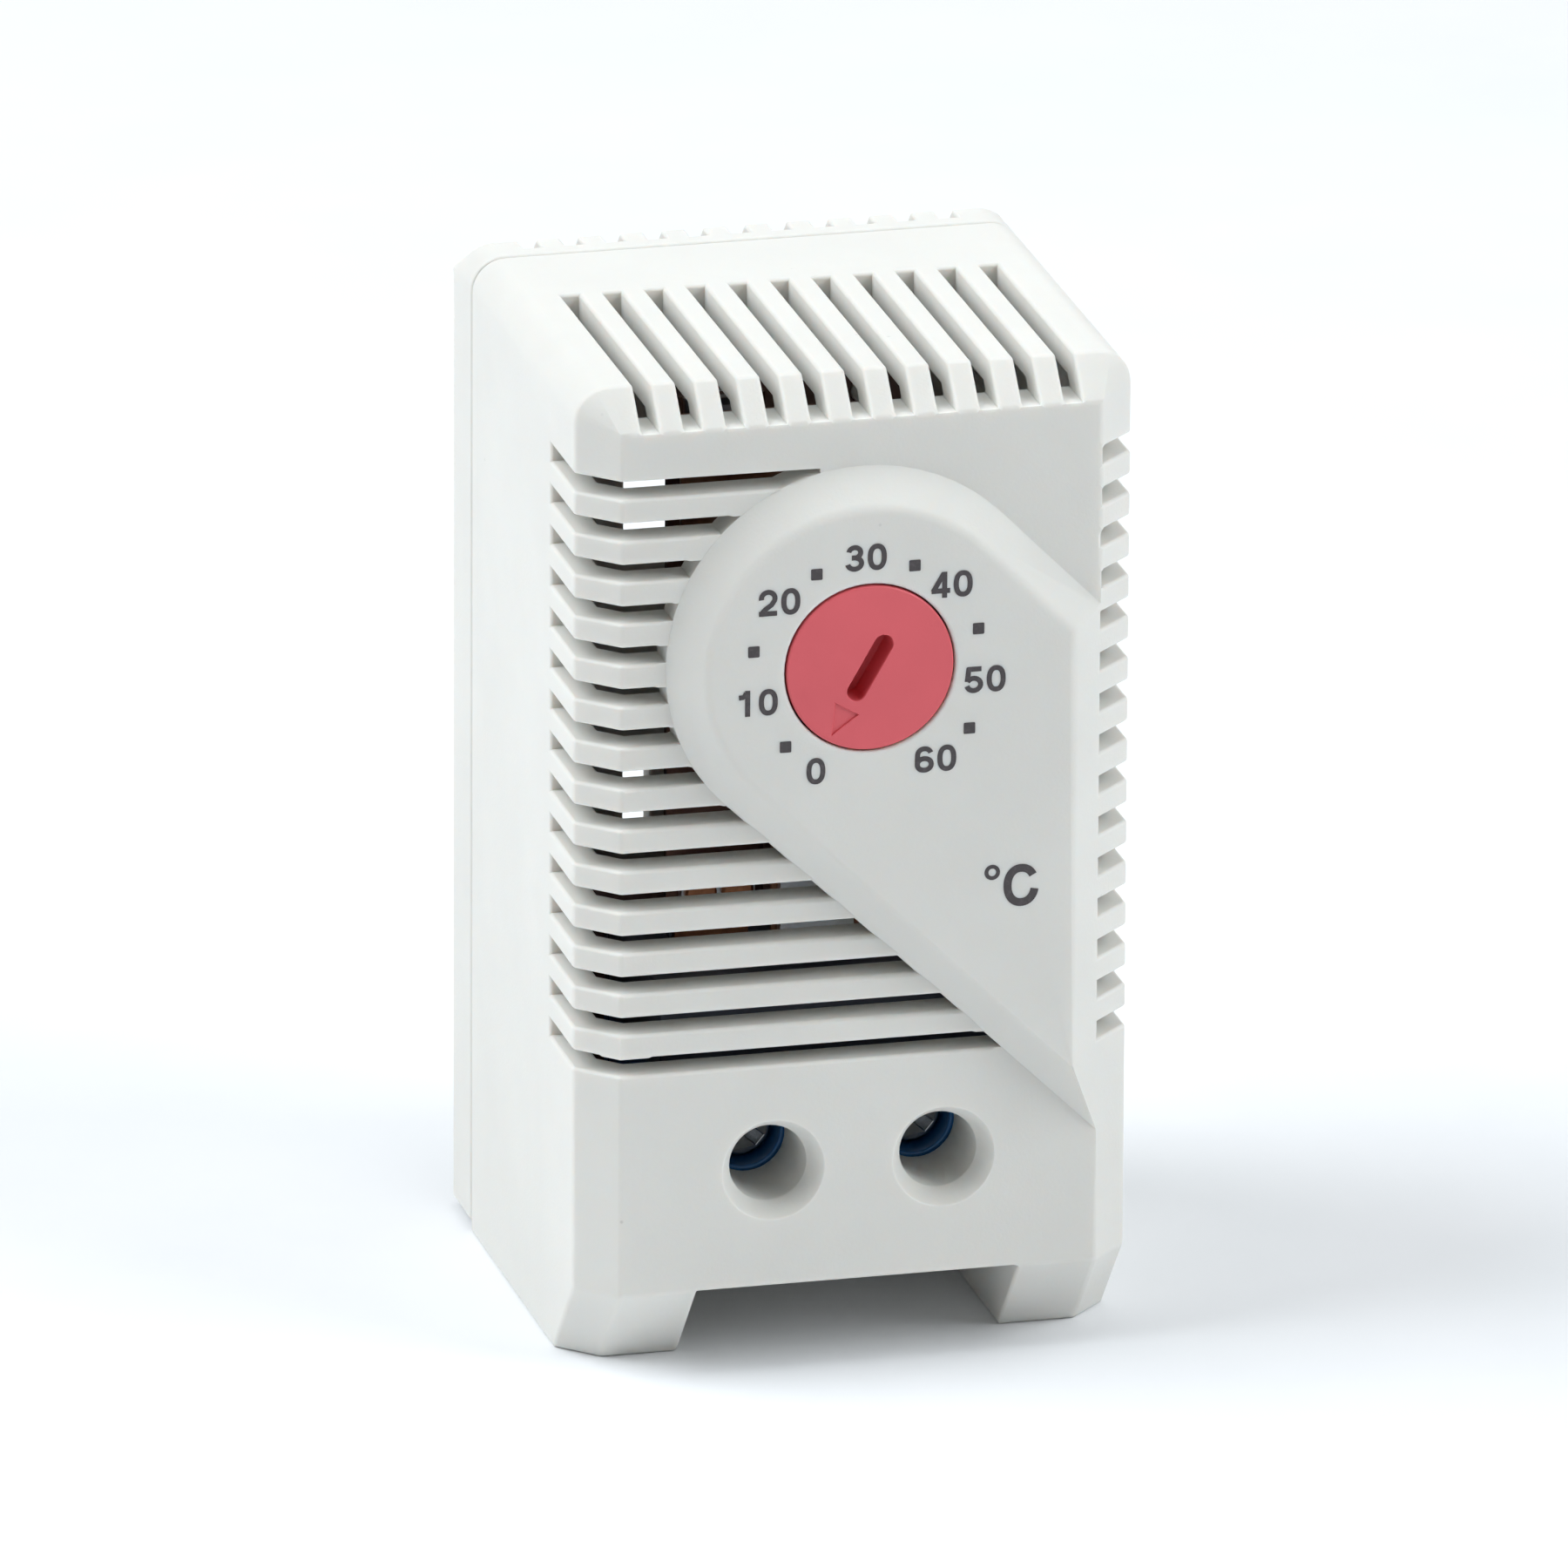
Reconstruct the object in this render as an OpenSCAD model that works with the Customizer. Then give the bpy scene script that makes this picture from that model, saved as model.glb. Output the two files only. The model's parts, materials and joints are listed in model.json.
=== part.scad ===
// Small enclosure thermostat for a 35 mm rail: moulded case, set-point dial,
// bimetal snap contact, two rising-cage terminals and a sprung rail clip.
// X is to the right, Y to the back where the rail is, Z up. The origin is the
// centre of the whole part's footprint, on the plane that the feet stand on.
// A "depth" is measured back from the front face of the case.

/* [Case] */
// Width of the case
case_w = 33; // [32.6:0.1:40]
// Height of the case
case_h = 60; // [59:0.5:72]
// Depth of the case, front face to back wall
case_d = 32.5; // [32:0.25:38]
// Depth of the rear cover, seam to back wall
cover_d = 5.2; // [4.6:0.1:6.4]
// Wall thickness of both shells
wall = 1.8; // [1.4:0.1:2]
// Thickness of the front wall, which is the depth of the front vents
front_wall = 2.4; // [1.8:0.1:2.5]
// Chamfer round the front face
edge_chamfer = 2.3; // [1.4:0.1:2.6]
// Radius of the long top edges
corner_r = 2; // [1.8:0.1:5]
// Height of the feet, which is the height of the wire channel
foot_h = 5.3; // [4:0.1:6]
// How far the feet slope back at the floor
foot_slope_d = 4.7; // [3:0.1:6]
// Width of the wire channel between the feet
channel_w = 19.2; // [18.6:0.2:21]
// Height of the cover's lower edge above the floor
cover_lift = 0.6; // [0.4:0.1:1.6]
// Small chamfer at the sides of the rear cover's back
cover_edge = 0.6; // [0.3:0.1:1]

/* [Vents] */
// Distance from one vent to the next
vent_pitch = 2.5; // [2.2:0.05:2.6]
// Width of a vent
vent_w = 1.05; // [0.7:0.05:1.3]
// Height below which the front and sides have no vents
vent_low_z = 18.5; // [18.5:0.5:40]
// Distance from the top of the case to the first front vent
vent_drop = 5.1; // [4.8:0.1:6]
// How far the side vents run back
side_vent_d = 8; // [5:0.5:12]
// Least distance from a top vent to the inner side of the wall
top_vent_edge = 1.2; // [1:0.1:4]
// How far the top vents run back
top_vent_d = 19.6; // [12:0.2:22]
// How far the rear vents run into the top, in front of the rear chamfer
rear_vent_run = 1.4; // [0.6:0.1:1.4]

/* [Dial plate] */
// Height of the dial plate above the front face
plate_proud = 2; // [1.5:0.1:2.4]
// Radius of the dial plate round the dial, at the front face
plate_r = 11.6; // [10.5:0.1:11.8]
// Distance from the top of the case to the dial's centre
dial_drop = 16.7; // [16.7:0.1:18]
// Height of the dial plate's lower tip
plate_tip_z = 13.3; // [12:0.1:15]
// Height of the dial plate's right shoulder above the dial's centre
shoulder_rise = 2.15; // [1:0.05:3]

/* [Dial] */
// Diameter of the dial
dial_dia = 9.9; // [8:0.1:11]
// Thickness of the dial's disc
dial_t = 2.5; // [2:0.1:3]
// Diameter of the dial's shaft
shaft_dia = 4; // [3.4:0.1:4.6]
// Length of the screwdriver slot
dial_slot_l = 4.3; // [3:0.1:5]
// Width of the screwdriver slot
dial_slot_w = 1.15; // [0.8:0.05:1.4]
// Depth of the screwdriver slot
dial_slot_deep = 2; // [0.8:0.1:2.1]
// Angle from the lowest to the highest setting, degrees
dial_sweep = 300; // [200:10:300]
// Rise of the cam over the whole sweep
cam_rise = 0.9; // [0.5:0.05:0.9]

/* [Terminals] */
// Distance between the two terminal screws
terminal_pitch = 10.16; // [10:0.02:10.5]
// Diameter of the straight screw holes in the case
access_dia = 4.6; // [4.2:0.1:5]
// Diameter of the countersink of the screw holes
access_mouth_dia = 6.1; // [5.6:0.1:6.6]
// Depth of the countersink
access_mouth_d = 1.4; // [0.8:0.1:1.7]
// Length of the guide tubes behind the screw holes
access_tube_d = 6.6; // [5:0.1:6.6]
// Nominal diameter of the clamp screw's thread
clamp_thread = 3; // [2.5:0.1:3.2]
// Diameter of the clamp screw's head
clamp_head_dia = 3.8; // [3.5:0.1:4]
// Travel of the clamp cage
cage_travel = 2.3; // [1.5:0.1:2.3]
// Diameter of the wire entries in the terminal block
wire_dia = 2.5; // [2:0.1:2.6]

/* [Contacts] */
// Width of the bimetal strip
bimetal_w = 5.8; // [5:0.1:6.2]
// Thickness of the bimetal strip
bimetal_t = 0.6; // [0.4:0.05:0.7]
// Distance from the top of the case to the bimetal strip's upper end
bimetal_drop = 5; // [4.5:0.5:7]
// Width of the contact spring
spring_w = 5; // [4:0.1:5.4]
// Thickness of the contact spring
spring_t = 0.4; // [0.3:0.05:0.5]
// Diameter of the contact rivets
contact_dia = 3; // [2.4:0.1:3.4]
// Thickness of the contact rivets
contact_t = 0.8; // [0.5:0.05:0.9]
// Gap between the contacts with the dial at its lowest setting
contact_gap = 1.35; // [1.35:0.05:1.6]

/* [Rail] */
// Width of the rail that the part clips on
rail_w = 35; // [34:0.5:36]
// Thickness of the rail's flanges
rail_t = 1; // [0.8:0.1:1.3]
// Height of the rail's centre line above the middle of the case
rail_rise = 1; // [0.5:0.1:1.5]
// How far the rail's seat stands behind the case
rail_stand = 4; // [3.6:0.1:4.5]
// Thickness of the hooks behind the rail's flanges
hook_t = 3.1; // [2.5:0.1:3.5]
// Travel of the rail clip
clip_travel = 3; // [2:0.1:3]

/* [Hidden] */
$fn = 64;
round_fn = 32;

// Overrun of every cut, and the thickness of a slab that only shapes a hull
over = 0.5;
slab = 0.02;
// Clearances: moulded pieces side by side, seats, shafts in bores, strip play
fit_gap = 0.2;
seat_gap = 0.1;
run_gap = 0.05;
screw_gap = 0.15;
strip_play = 0.1;

// Places of the case
// Play of the rail's flange in its grooves
rail_play = 0.4;
rail_gap = rail_t + rail_play;
rail_proud = rail_stand + rail_gap + hook_t;
front_y = plate_proud - (plate_proud + case_d + rail_proud) / 2;
half_w = case_w / 2;
shell_d = case_d - cover_d;
front_half = half_w - edge_chamfer;
inner_half = half_w - wall;
inner_top = case_h - wall;
inner_back = case_d - wall;
// An inner chamfer parallel to the outer one
inner_chamfer = edge_chamfer - wall * (2 - sqrt(2));
floor_z = foot_h + wall;
// Where the upper front vents end, left of the dial's centre line
vent_stop = 2.5;
top_vent_pairs = floor((inner_half - vent_w / 2 - top_vent_edge) / vent_pitch);

// Places of the dial
dial_z = case_h - dial_drop;
dial_r = dial_dia / 2;
shaft_r = shaft_dia / 2;
dial_gap = 0.1;
plate_right = front_half;
shoulder_z = dial_z + shoulder_rise;
// Angles of the plate's outline at its tip and its shoulder
tip_fall = dial_z - plate_tip_z;
tip_angle = atan(plate_right / tip_fall) + asin(plate_r / norm([plate_right, tip_fall]));
shoulder_angle = 90 - atan(shoulder_rise / plate_right)
    + asin(plate_r / norm([plate_right, shoulder_rise]));
dial_back = dial_t - plate_proud;
dial_seat_d = dial_back + dial_gap;
tube_end_d = 5;
tube_wall = 1.6;
washer_t = 0.3;
washer_d = tube_end_d + run_gap;
clip_t = 0.5;
clip_d = washer_d + washer_t + run_gap;
clip_groove = 0.5;
clip_rim = 1.4;
clip_mouth_share = 0.8;
cam_d = clip_d + clip_t + seat_gap;
cam_t = 1.2;
cam_floor_h = 0.3;
cam_hub_wall = 0.3;
cam_track_w = 2;
cam_rim = 0.4;
cam_inner_r = shaft_r + cam_hub_wall;
cam_outer_r = cam_inner_r + cam_track_w;
cam_margin_share = 0.28;
cam_margin = (360 - dial_sweep) * cam_margin_share;
cam_steps = 48;
stud_r = 0.9;
stud_reach = (cam_inner_r + cam_outer_r) / 2;
stud_gap = 0.15;
stud_z = dial_z + stud_reach;
slot_turn = -dial_sweep / 2;
pointer_edge = 0.45;
pointer_l = 1.75;
pointer_tip = dial_r - pointer_edge;
pointer_root = pointer_tip - pointer_l;
pointer_half = 0.8;
pointer_deep = 0.15;

// Places of the contact spring, the bimetal strip and their clamps
strip_grip = 4;
pivot_rise = 17.9;
pivot_z = floor_z + pivot_rise;
strip_foot_z = pivot_z - strip_grip / 2;
grip_top_z = pivot_z + strip_grip / 2;
bimetal_top = case_h - bimetal_drop;
contact_drop = 5;
contact_z = bimetal_top - contact_drop;
bar_t = 0.8;
clamp_t = 0.8;
terminal_x = terminal_pitch / 2;
pair_x = -terminal_x;
rivet_r = 0.6;
rivet_head_r = 0.95;
rivet_head_t = 0.4;
rivet_edge = 0.15;
contact_edge = 0.25;
rivet_play = 0.15;
rivet_step_share = 0.25;
magnet_w = 4;
magnet_h = 2.4;
magnet_t = 1;
magnet_z = bimetal_top - magnet_h;
armature_relief = 0.2;
armature_t = contact_t - armature_relief;

// Places of the terminals
bar_w = 4.4;
block_d = access_tube_d + fit_gap;
block_floor_z = floor_z + seat_gap;
block_half = terminal_pitch;
cell_half = 3.5;
block_floor_t = 2;
cell_floor_z = block_floor_z + block_floor_t;
block_roof = 1.5;
head_r = clamp_head_dia / 2;
head_t = 1.6;
recess_half = 0.35;
recess_share = 0.6;
head_sink = 1.2;
head_d = block_d + head_sink;
head_wall_d = head_d + head_t + run_gap;
head_wall = 0.9;
cell_d = head_wall_d + head_wall;
cage_gap = 0.15;
cage_wall = 0.8;
cage_front_t = 1.2;
cage_d = cell_d + cage_gap + cage_travel;
cage_half = 3.2;
cage_h = 6.2;
cage_z = cell_floor_z + seat_gap;
cage_room = 4.5;
block_top_z = cage_z + cage_h + cage_room + block_roof;
terminal_z = cage_z + cage_h / 2;
bar_room = 0.8;
bar_d = cage_d + cage_front_t + bar_room;
wire_d = bar_d + bar_t + wire_dia / 2;
cage_back_d = bar_d + bar_t + wire_dia;
block_back_d = cage_back_d + cage_wall + fit_gap + seat_gap;
block_cover_t = 1.2;
wire_hole_r = wire_dia;
funnel_h = 0.6;

// Depths of the two strips, from the terminal bars forwards
bimetal_d = bar_d - strip_play - bimetal_t;
moving_d = bimetal_d - contact_t;
fixed_d = moving_d - contact_gap;
spring_d = fixed_d - contact_t - spring_t;
spring_seat_d = spring_d + spring_t + strip_play;
stud_d = cam_d + cam_t + cam_floor_h + stud_gap;

// Places of the base plate, the posts and the snap arms
base_d = block_back_d + block_cover_t + seat_gap;
base_t = 2;
arm_t = 1.2;
arm_room = 2.34;
base_half = inner_half - fit_gap - arm_t - arm_room;
base_left = 5.6;
base_right = 8;
base_drop = 3.2;
base_top_z = inner_top - base_drop;
neck_rise = 2.5;
base_neck_z = block_top_z + neck_rise;
shelf_t = 1.5;
shelf_l = 3;
post_r = 1.5;
peg_r = 0.8;
post_edge = 2.6;
post_x_low = base_half - post_edge;
post_z_low = floor_z + post_edge;
post_z_high = base_top_z - post_edge;
post_x_high = [post_edge - base_left, base_right - post_edge];
arm_w = 6;
arm_reach = 7;
catch_h = 0.7;
catch_l = 1.2;
arm_rise = 8;
arm_drop = 15;
arm_z = [floor_z + arm_rise, case_h - arm_drop];
lip_t = 0.8;
lip_l = 1.5;
lip_seat = 1.2;
seam_gap = 0.2;

// Places of the rail carrier and its clip
rail_z = case_h / 2 + rail_rise;
seat_d = case_d + rail_stand;
lip_d = seat_d + rail_gap;
hook_back_d = lip_d + hook_t;
rail_top_z = rail_z + rail_w / 2;
rail_foot_z = rail_z - rail_w / 2;
rib_out = 11;
rib_w = 3.5;
rib_lift = 1.2;
rib_foot_z = foot_h + rib_lift;
hook_roof = 3.6;
hook_lap = 2.3;
window_edge = 1;
window_half = rib_out - rib_w - window_edge;
window_rise = 9;
window_z = rail_z + window_rise;
window_h = 5;
slit_w = 1.6;
slit_rise = 1.3;
slit_h = 4.8;
clip_half = 4;
clip_flange_t = 1.2;
tongue_half = 2.8;
nose_half = 6.5;
nose_lap = 2;
clip_play = 0.3;
clip_floor_d = case_d + clip_play;
ground_gap = 0.5;
clip_foot_z = clip_travel + ground_gap;
tongue_back_d = seat_d - clip_play;
nose_d = seat_d + clip_play;
nose_top_z = rail_foot_z - rail_play;
nose_h = 4.5;
handle_h = 3;
handle_out = 2;
driver_slot_w = 4;
driver_slot_d = 1.2;
gib_w = 2.2;
clip_web = 1.2;
window_low_z = nose_top_z + clip_play;
clip_window_half = 1.6;
peg_half = 1.3;
peg_h = 1.2;
peg_low_z = window_low_z + seat_gap;
coil_wire = 0.4;
coil_r = 1;
coil_turns = 4;
coil_rings = 8;
coil_sides = 6;
coil_d = (clip_floor_d + tongue_back_d) / 2;
coil_low_z = peg_low_z + peg_h;
coil_len = 5.6;
window_top_z = coil_low_z + coil_len;
clip_top_z = window_top_z + clip_web;
slit_z = clip_top_z + slit_rise;

// Colours
shell_grey = [0.83, 0.85, 0.85];
dial_red = [0.80, 0.31, 0.37];
block_blue = [0.10, 0.28, 0.52];
steel = [0.70, 0.71, 0.73];
copper = [0.62, 0.40, 0.27];
brass = [0.74, 0.60, 0.34];
silver = [0.86, 0.86, 0.84];
base_brown = [0.34, 0.25, 0.21];
ferrite = [0.22, 0.22, 0.24];

// Moves what follows so that its own y is a depth behind the front face
module behind(d) translate([0, front_y + d, 0]) children();

// Extrudes an outline drawn in x and z backwards from depth d
module deep(d, length) behind(d + length) rotate([90, 0, 0]) linear_extrude(length) children();

// A rod along the depth, from depth d, at x and z
module rod(x, z, d, length, r) behind(d) translate([x, 0, z]) rotate([-90, 0, 0])
    cylinder(h = length, r = r);

// A cone along the depth, from radius r1 at depth d to r2
module cone(x, z, d, length, r1, r2) behind(d) translate([x, 0, z]) rotate([-90, 0, 0])
    cylinder(h = length, r1 = r1, r2 = r2);

// A turned piece whose profile gives its radius and its depth behind d
module turned(x, z, d, profile) behind(d) translate([x, 0, z]) rotate([-90, 0, 0])
    rotate_extrude() polygon(profile);

// A block from x0 to x1, from depth d0 to d1 and from z0 to z1
module block(x0, x1, d0, d1, z0, z1) behind(d0) translate([x0, 0, z0])
    cube([x1 - x0, d1 - d0, z1 - z0]);

// The same piece on the right and on the left
module both() {
    children();
    mirror([1, 0, 0]) children();
}

// A plate outline with round upper corners
module arch(half, low, top, r) {
    translate([-half, low]) square([2 * half, top - r - low]);
    translate([r - half, low]) square([2 * (half - r), top - low]);
    if (r > 0) for (side = [-1, 1]) translate([side * (half - r), top - r]) circle(r = r);
}

// A shell's body from depth d: chamfered round the front, sloped back to the feet
module shell_body(inset, d, chamfer, r, low, past) {
    half = half_w - inset;
    top = case_h - inset;
    slope_z = foot_h + inset * foot_h / foot_slope_d;
    face_r = max(r - chamfer, 0);
    hull() {
        deep(d, chamfer) arch(half - chamfer, slope_z, top - chamfer, face_r, $fn = round_fn);
        deep(d + chamfer, shell_d - d - chamfer + past)
            arch(half, slope_z, top, r, $fn = round_fn);
        deep(inset + foot_slope_d, chamfer) arch(half - chamfer, low, top - chamfer, 0);
        deep(inset + foot_slope_d + chamfer, shell_d - inset - foot_slope_d - chamfer + past)
            arch(half, low, top, r, $fn = round_fn);
    }
}

// Outline of the dial plate: a disc with a straight right side and a tip below
module plate_outline(inset) hull() {
    edge = plate_right - inset - slab;
    translate([0, dial_z]) circle(r = plate_r - inset, $fn = 2 * round_fn);
    translate([edge, shoulder_z - inset / tan(shoulder_angle / 2) - slab]) square(slab);
    translate([edge, plate_tip_z + inset / tan(tip_angle / 2)]) square(slab);
}

// The raised dial plate with its bevel
module dial_plate() hull() {
    deep(-plate_proud, plate_proud) plate_outline(plate_proud);
    deep(0, wall / 2) plate_outline(0);
}

module side_vent_cuts() difference() {
    for (z = [case_h - vent_drop - vent_w : -vent_pitch : vent_low_z])
        block(-half_w - over, half_w + over, -over, side_vent_d, z, z + vent_w);
    deep(-2 * over, side_vent_d + 3 * over) plate_outline(0);
    block(-vent_stop, front_half, -2 * over, side_vent_d + over, dial_z, case_h);
}

module top_vent_cuts(d0, d1, z0) for (i = [-top_vent_pairs : top_vent_pairs])
    block(i * vent_pitch - vent_w / 2, i * vent_pitch + vent_w / 2, d0, d1, z0, case_h + over);

module wire_channel_cut(d0, d1) block(-channel_w / 2, channel_w / 2, d0, d1, -over, foot_h);

module front_housing() color(shell_grey) difference() {
    union() {
        difference() {
            shell_body(0, 0, edge_chamfer, corner_r, 0, 0);
            difference() {
                shell_body(wall, front_wall, inner_chamfer, max(corner_r - wall, 0), wall, over);
                block(-channel_w / 2 - wall, channel_w / 2 + wall, 0, case_d, 0, floor_z);
            }
        }
        dial_plate();
        rod(0, dial_z, wall / 2, tube_end_d - wall / 2, shaft_r + run_gap + tube_wall);
        both() rod(terminal_x, terminal_z, wall / 2, access_tube_d - wall / 2,
            access_dia / 2 + wall / 2);
    }
    wire_channel_cut(-over, shell_d + over);
    side_vent_cuts();
    top_vent_cuts(-over, top_vent_d, case_h - edge_chamfer);
    rod(0, dial_z, -plate_proud - over, dial_seat_d + plate_proud + over, dial_r + dial_gap);
    rod(0, dial_z, 0, tube_end_d + over, shaft_r + run_gap);
    both() {
        rod(terminal_x, terminal_z, 0, access_tube_d + over, access_dia / 2);
        cone(terminal_x, terminal_z, -slab, access_mouth_d + slab, access_mouth_dia / 2, access_dia / 2);
        behind(wire_d) translate([terminal_x, 0, foot_h - over])
            cylinder(h = wall + 2 * over, r = wire_hole_r);
        for (z = arm_z)
            block(inner_half - over, inner_half + catch_h + fit_gap, shell_d - arm_reach - fit_gap,
                shell_d - arm_reach + catch_l + fit_gap, z - fit_gap, z + arm_w + fit_gap);
    }
}

// The rear cover's body, with a wide chamfer on top of its back and a small one at the sides
module cover_body() hull() {
    drop = edge_chamfer - cover_edge;
    deep(shell_d, cover_d - edge_chamfer) arch(half_w, cover_lift, case_h, corner_r, $fn = round_fn);
    deep(shell_d, cover_d - cover_edge) arch(half_w, cover_lift, case_h - drop, max(corner_r - drop, 0),
        $fn = round_fn);
    deep(shell_d, cover_d) arch(half_w - cover_edge, cover_lift, case_h - edge_chamfer,
        max(corner_r - edge_chamfer, 0), $fn = round_fn);
}

// Locating lip that reaches into the front shell
module cover_lip() difference() {
    union() {
        deep(shell_d - lip_l, lip_l + lip_seat) lip_outline(fit_gap);
        deep(shell_d + seam_gap, lip_seat) lip_outline(-slab);
    }
    deep(shell_d - lip_l - over, lip_l + lip_seat + 2 * over)
        arch(inner_half - fit_gap - lip_t, 0, inner_top - fit_gap - lip_t, 0);
}

module lip_outline(inset) arch(inner_half - inset, floor_z + fit_gap, inner_top - inset,
    max(corner_r - wall - inset, 0));

// Snap arms with catches for the recesses in the front shell
module cover_arms() both() for (z = arm_z) {
    outer = inner_half - fit_gap;
    block(outer - arm_t, outer, shell_d - arm_reach, inner_back + slab, z, z + arm_w);
    block(outer - arm_t, outer + catch_h, shell_d - arm_reach, shell_d - arm_reach + catch_l, z, z + arm_w);
}

module cover_posts() {
    for (x = [-post_x_low, post_x_low]) cover_post(x, post_z_low);
    for (x = post_x_high) cover_post(x, post_z_high);
}

module cover_post(x, z) {
    rod(x, z, base_d + base_t + seat_gap, inner_back - base_d - base_t, post_r);
    rod(x, z, base_d, base_t + 2 * seat_gap, peg_r);
}

module rail_carrier() {
    both() block(rib_out - rib_w, rib_out, case_d - slab, seat_d, rib_foot_z,
        rail_top_z + rail_play + hook_roof);
    block(-rib_out, rib_out, case_d - slab, hook_back_d, rail_top_z + rail_play,
        rail_top_z + rail_play + hook_roof);
    block(-rib_out, rib_out, lip_d, hook_back_d, rail_top_z - hook_lap, rail_top_z + rail_play + slab);
}

module clip_guide() {
    both() {
        block(clip_half + fit_gap, clip_half + fit_gap + gib_w, case_d - slab, tongue_back_d,
            nose_top_z + fit_gap, window_top_z);
        block(tongue_half + fit_gap, clip_half + fit_gap + gib_w,
            clip_floor_d + clip_flange_t + fit_gap, tongue_back_d, nose_top_z + fit_gap, window_top_z);
    }
    block(-peg_half, peg_half, case_d - slab, tongue_back_d, peg_low_z, peg_low_z + peg_h);
}

module rear_cover() color(shell_grey) {
    difference() {
        cover_body();
        deep(shell_d - over, cover_d + over - wall)
            arch(inner_half, cover_lift + wall, inner_top, max(corner_r - wall, 0));
        difference() {
            deep(shell_d - over, over + seam_gap) arch(half_w + over, -over, case_h + over, 0);
            deep(shell_d - 2 * over, 3 * over)
                arch(inner_half + slab, cover_lift - over, inner_top + slab, max(corner_r - wall, 0));
        }
        wire_channel_cut(shell_d - over, case_d + over);
        top_vent_cuts(case_d - edge_chamfer - rear_vent_run, case_d + over,
            case_h - edge_chamfer - vent_w);
        block(-window_half, window_half, inner_back - over, case_d + over, window_z, window_z + window_h);
        both() block(window_half - slit_w, window_half, inner_back - over, case_d + over,
            slit_z, slit_z + slit_h);
    }
    difference() {
        block(-channel_w / 2 - wall, channel_w / 2 + wall, shell_d, inner_back + slab,
            cover_lift + wall - slab, floor_z);
        wire_channel_cut(shell_d - over, case_d + over);
    }
    cover_lip();
    cover_arms();
    cover_posts();
    rail_carrier();
    clip_guide();
}

module dial() color(dial_red) difference() {
    union() {
        rod(0, dial_z, -plate_proud, dial_t, dial_r);
        rod(0, dial_z, 0, cam_d + cam_t, shaft_r);
    }
    behind(-plate_proud) translate([0, 0, dial_z]) rotate([0, slot_turn, 0]) {
        half = (dial_slot_l - dial_slot_w) / 2;
        rotate([90, 0, 0]) translate([0, 0, -dial_slot_deep]) linear_extrude(dial_slot_deep + over) {
            translate([-dial_slot_w / 2, -half]) square([dial_slot_w, 2 * half]);
            for (z = [-half, half]) translate([0, z]) circle(d = dial_slot_w);
        }
        // The pointer, a sunk triangle at the slot's end
        rotate([90, 0, 0]) translate([0, 0, -pointer_deep]) linear_extrude(pointer_deep + over)
            polygon([[0, pointer_tip], [-pointer_half, pointer_root], [pointer_half, pointer_root]]);
    }
    difference() {
        rod(0, dial_z, clip_d - run_gap, clip_t + 2 * run_gap, shaft_r + over);
        rod(0, dial_z, clip_d - 2 * run_gap, clip_t + 4 * run_gap, shaft_r - clip_groove);
    }
}

module ring(d, t, inner, outer) difference() {
    rod(0, dial_z, d, t, outer);
    rod(0, dial_z, d - over, t + 2 * over, inner);
}

module dial_washer() color(steel) ring(washer_d, washer_t, shaft_r + run_gap, shaft_r + clip_rim);

// Retaining clip with its mouth to the right
module dial_clip() color(steel) difference() {
    ring(clip_d, clip_t, shaft_r - clip_groove + run_gap, shaft_r + clip_rim);
    block(0, shaft_r + clip_rim + over, clip_d - over, clip_d + clip_t + over,
        dial_z - (shaft_r - clip_groove) * clip_mouth_share,
        dial_z + (shaft_r - clip_groove) * clip_mouth_share);
}

// Height of the cam at an angle turned against the clock from the stud
function cam_height(turn) = cam_floor_h + cam_rise * min(max(turn, 0), dial_sweep) / dial_sweep;
function cam_angle(i) = -cam_margin + i * (dial_sweep + 2 * cam_margin) / cam_steps;
function cam_point(i, r, d) =
    [-r * sin(cam_angle(i)), front_y + d, dial_z + r * cos(cam_angle(i))];
function cam_section(i) = [
    cam_point(i, cam_inner_r, cam_d + cam_t - slab),
    cam_point(i, cam_outer_r, cam_d + cam_t - slab),
    cam_point(i, cam_outer_r, cam_d + cam_t + cam_height(cam_angle(i))),
    cam_point(i, cam_inner_r, cam_d + cam_t + cam_height(cam_angle(i)))];

// Faces of a tube of sections with n points each, closed at both ends
function tube_faces(sections, n) = concat(
    [for (k = [1 : n - 2]) [0, k, k + 1]],
    [for (i = [0 : sections - 2]) for (k = [0 : n - 1])
        let(a = i * n + k, b = i * n + (k + 1) % n) each [[a, a + n, b + n], [a, b + n, b]]],
    [for (k = [1 : n - 2]) let(e = (sections - 1) * n) [e, e + k + 1, e + k]]);

module set_cam() color(brass) difference() {
    union() {
        rod(0, dial_z, cam_d, cam_t, cam_outer_r + cam_rim);
        polyhedron([for (i = [0 : cam_steps]) each cam_section(i)], tube_faces(cam_steps + 1, 4));
    }
    rod(0, dial_z, cam_d - over, cam_t + 2 * over, shaft_r + run_gap / 2);
}

// Insulating stud with a tapered tip that rides on the cam
module push_stud() color(silver) turned(0, stud_z, stud_d, let(length = spring_d - stud_d)
    [[0, 0], [stud_r / 2, 0], [stud_r, stud_r / 2], [stud_r, length], [0, length]]);

module contact_spring() color(brass) difference() {
    union() {
        block(-spring_w / 2, spring_w / 2, spring_d, spring_d + spring_t, strip_foot_z, bimetal_top);
        block(pair_x - bimetal_w / 2, 0, spring_d, spring_d + spring_t, contact_z - contact_dia,
            bimetal_top);
    }
    rivet_holes(0, bar_w, spring_d - over, spring_t + 2 * over, rivet_r + rivet_play);
}

module rivet_holes(x, w, d, length, r) for (side = [-1, 1])
    rod(x + side * w * rivet_step_share, pivot_z, d, length, r);

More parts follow.
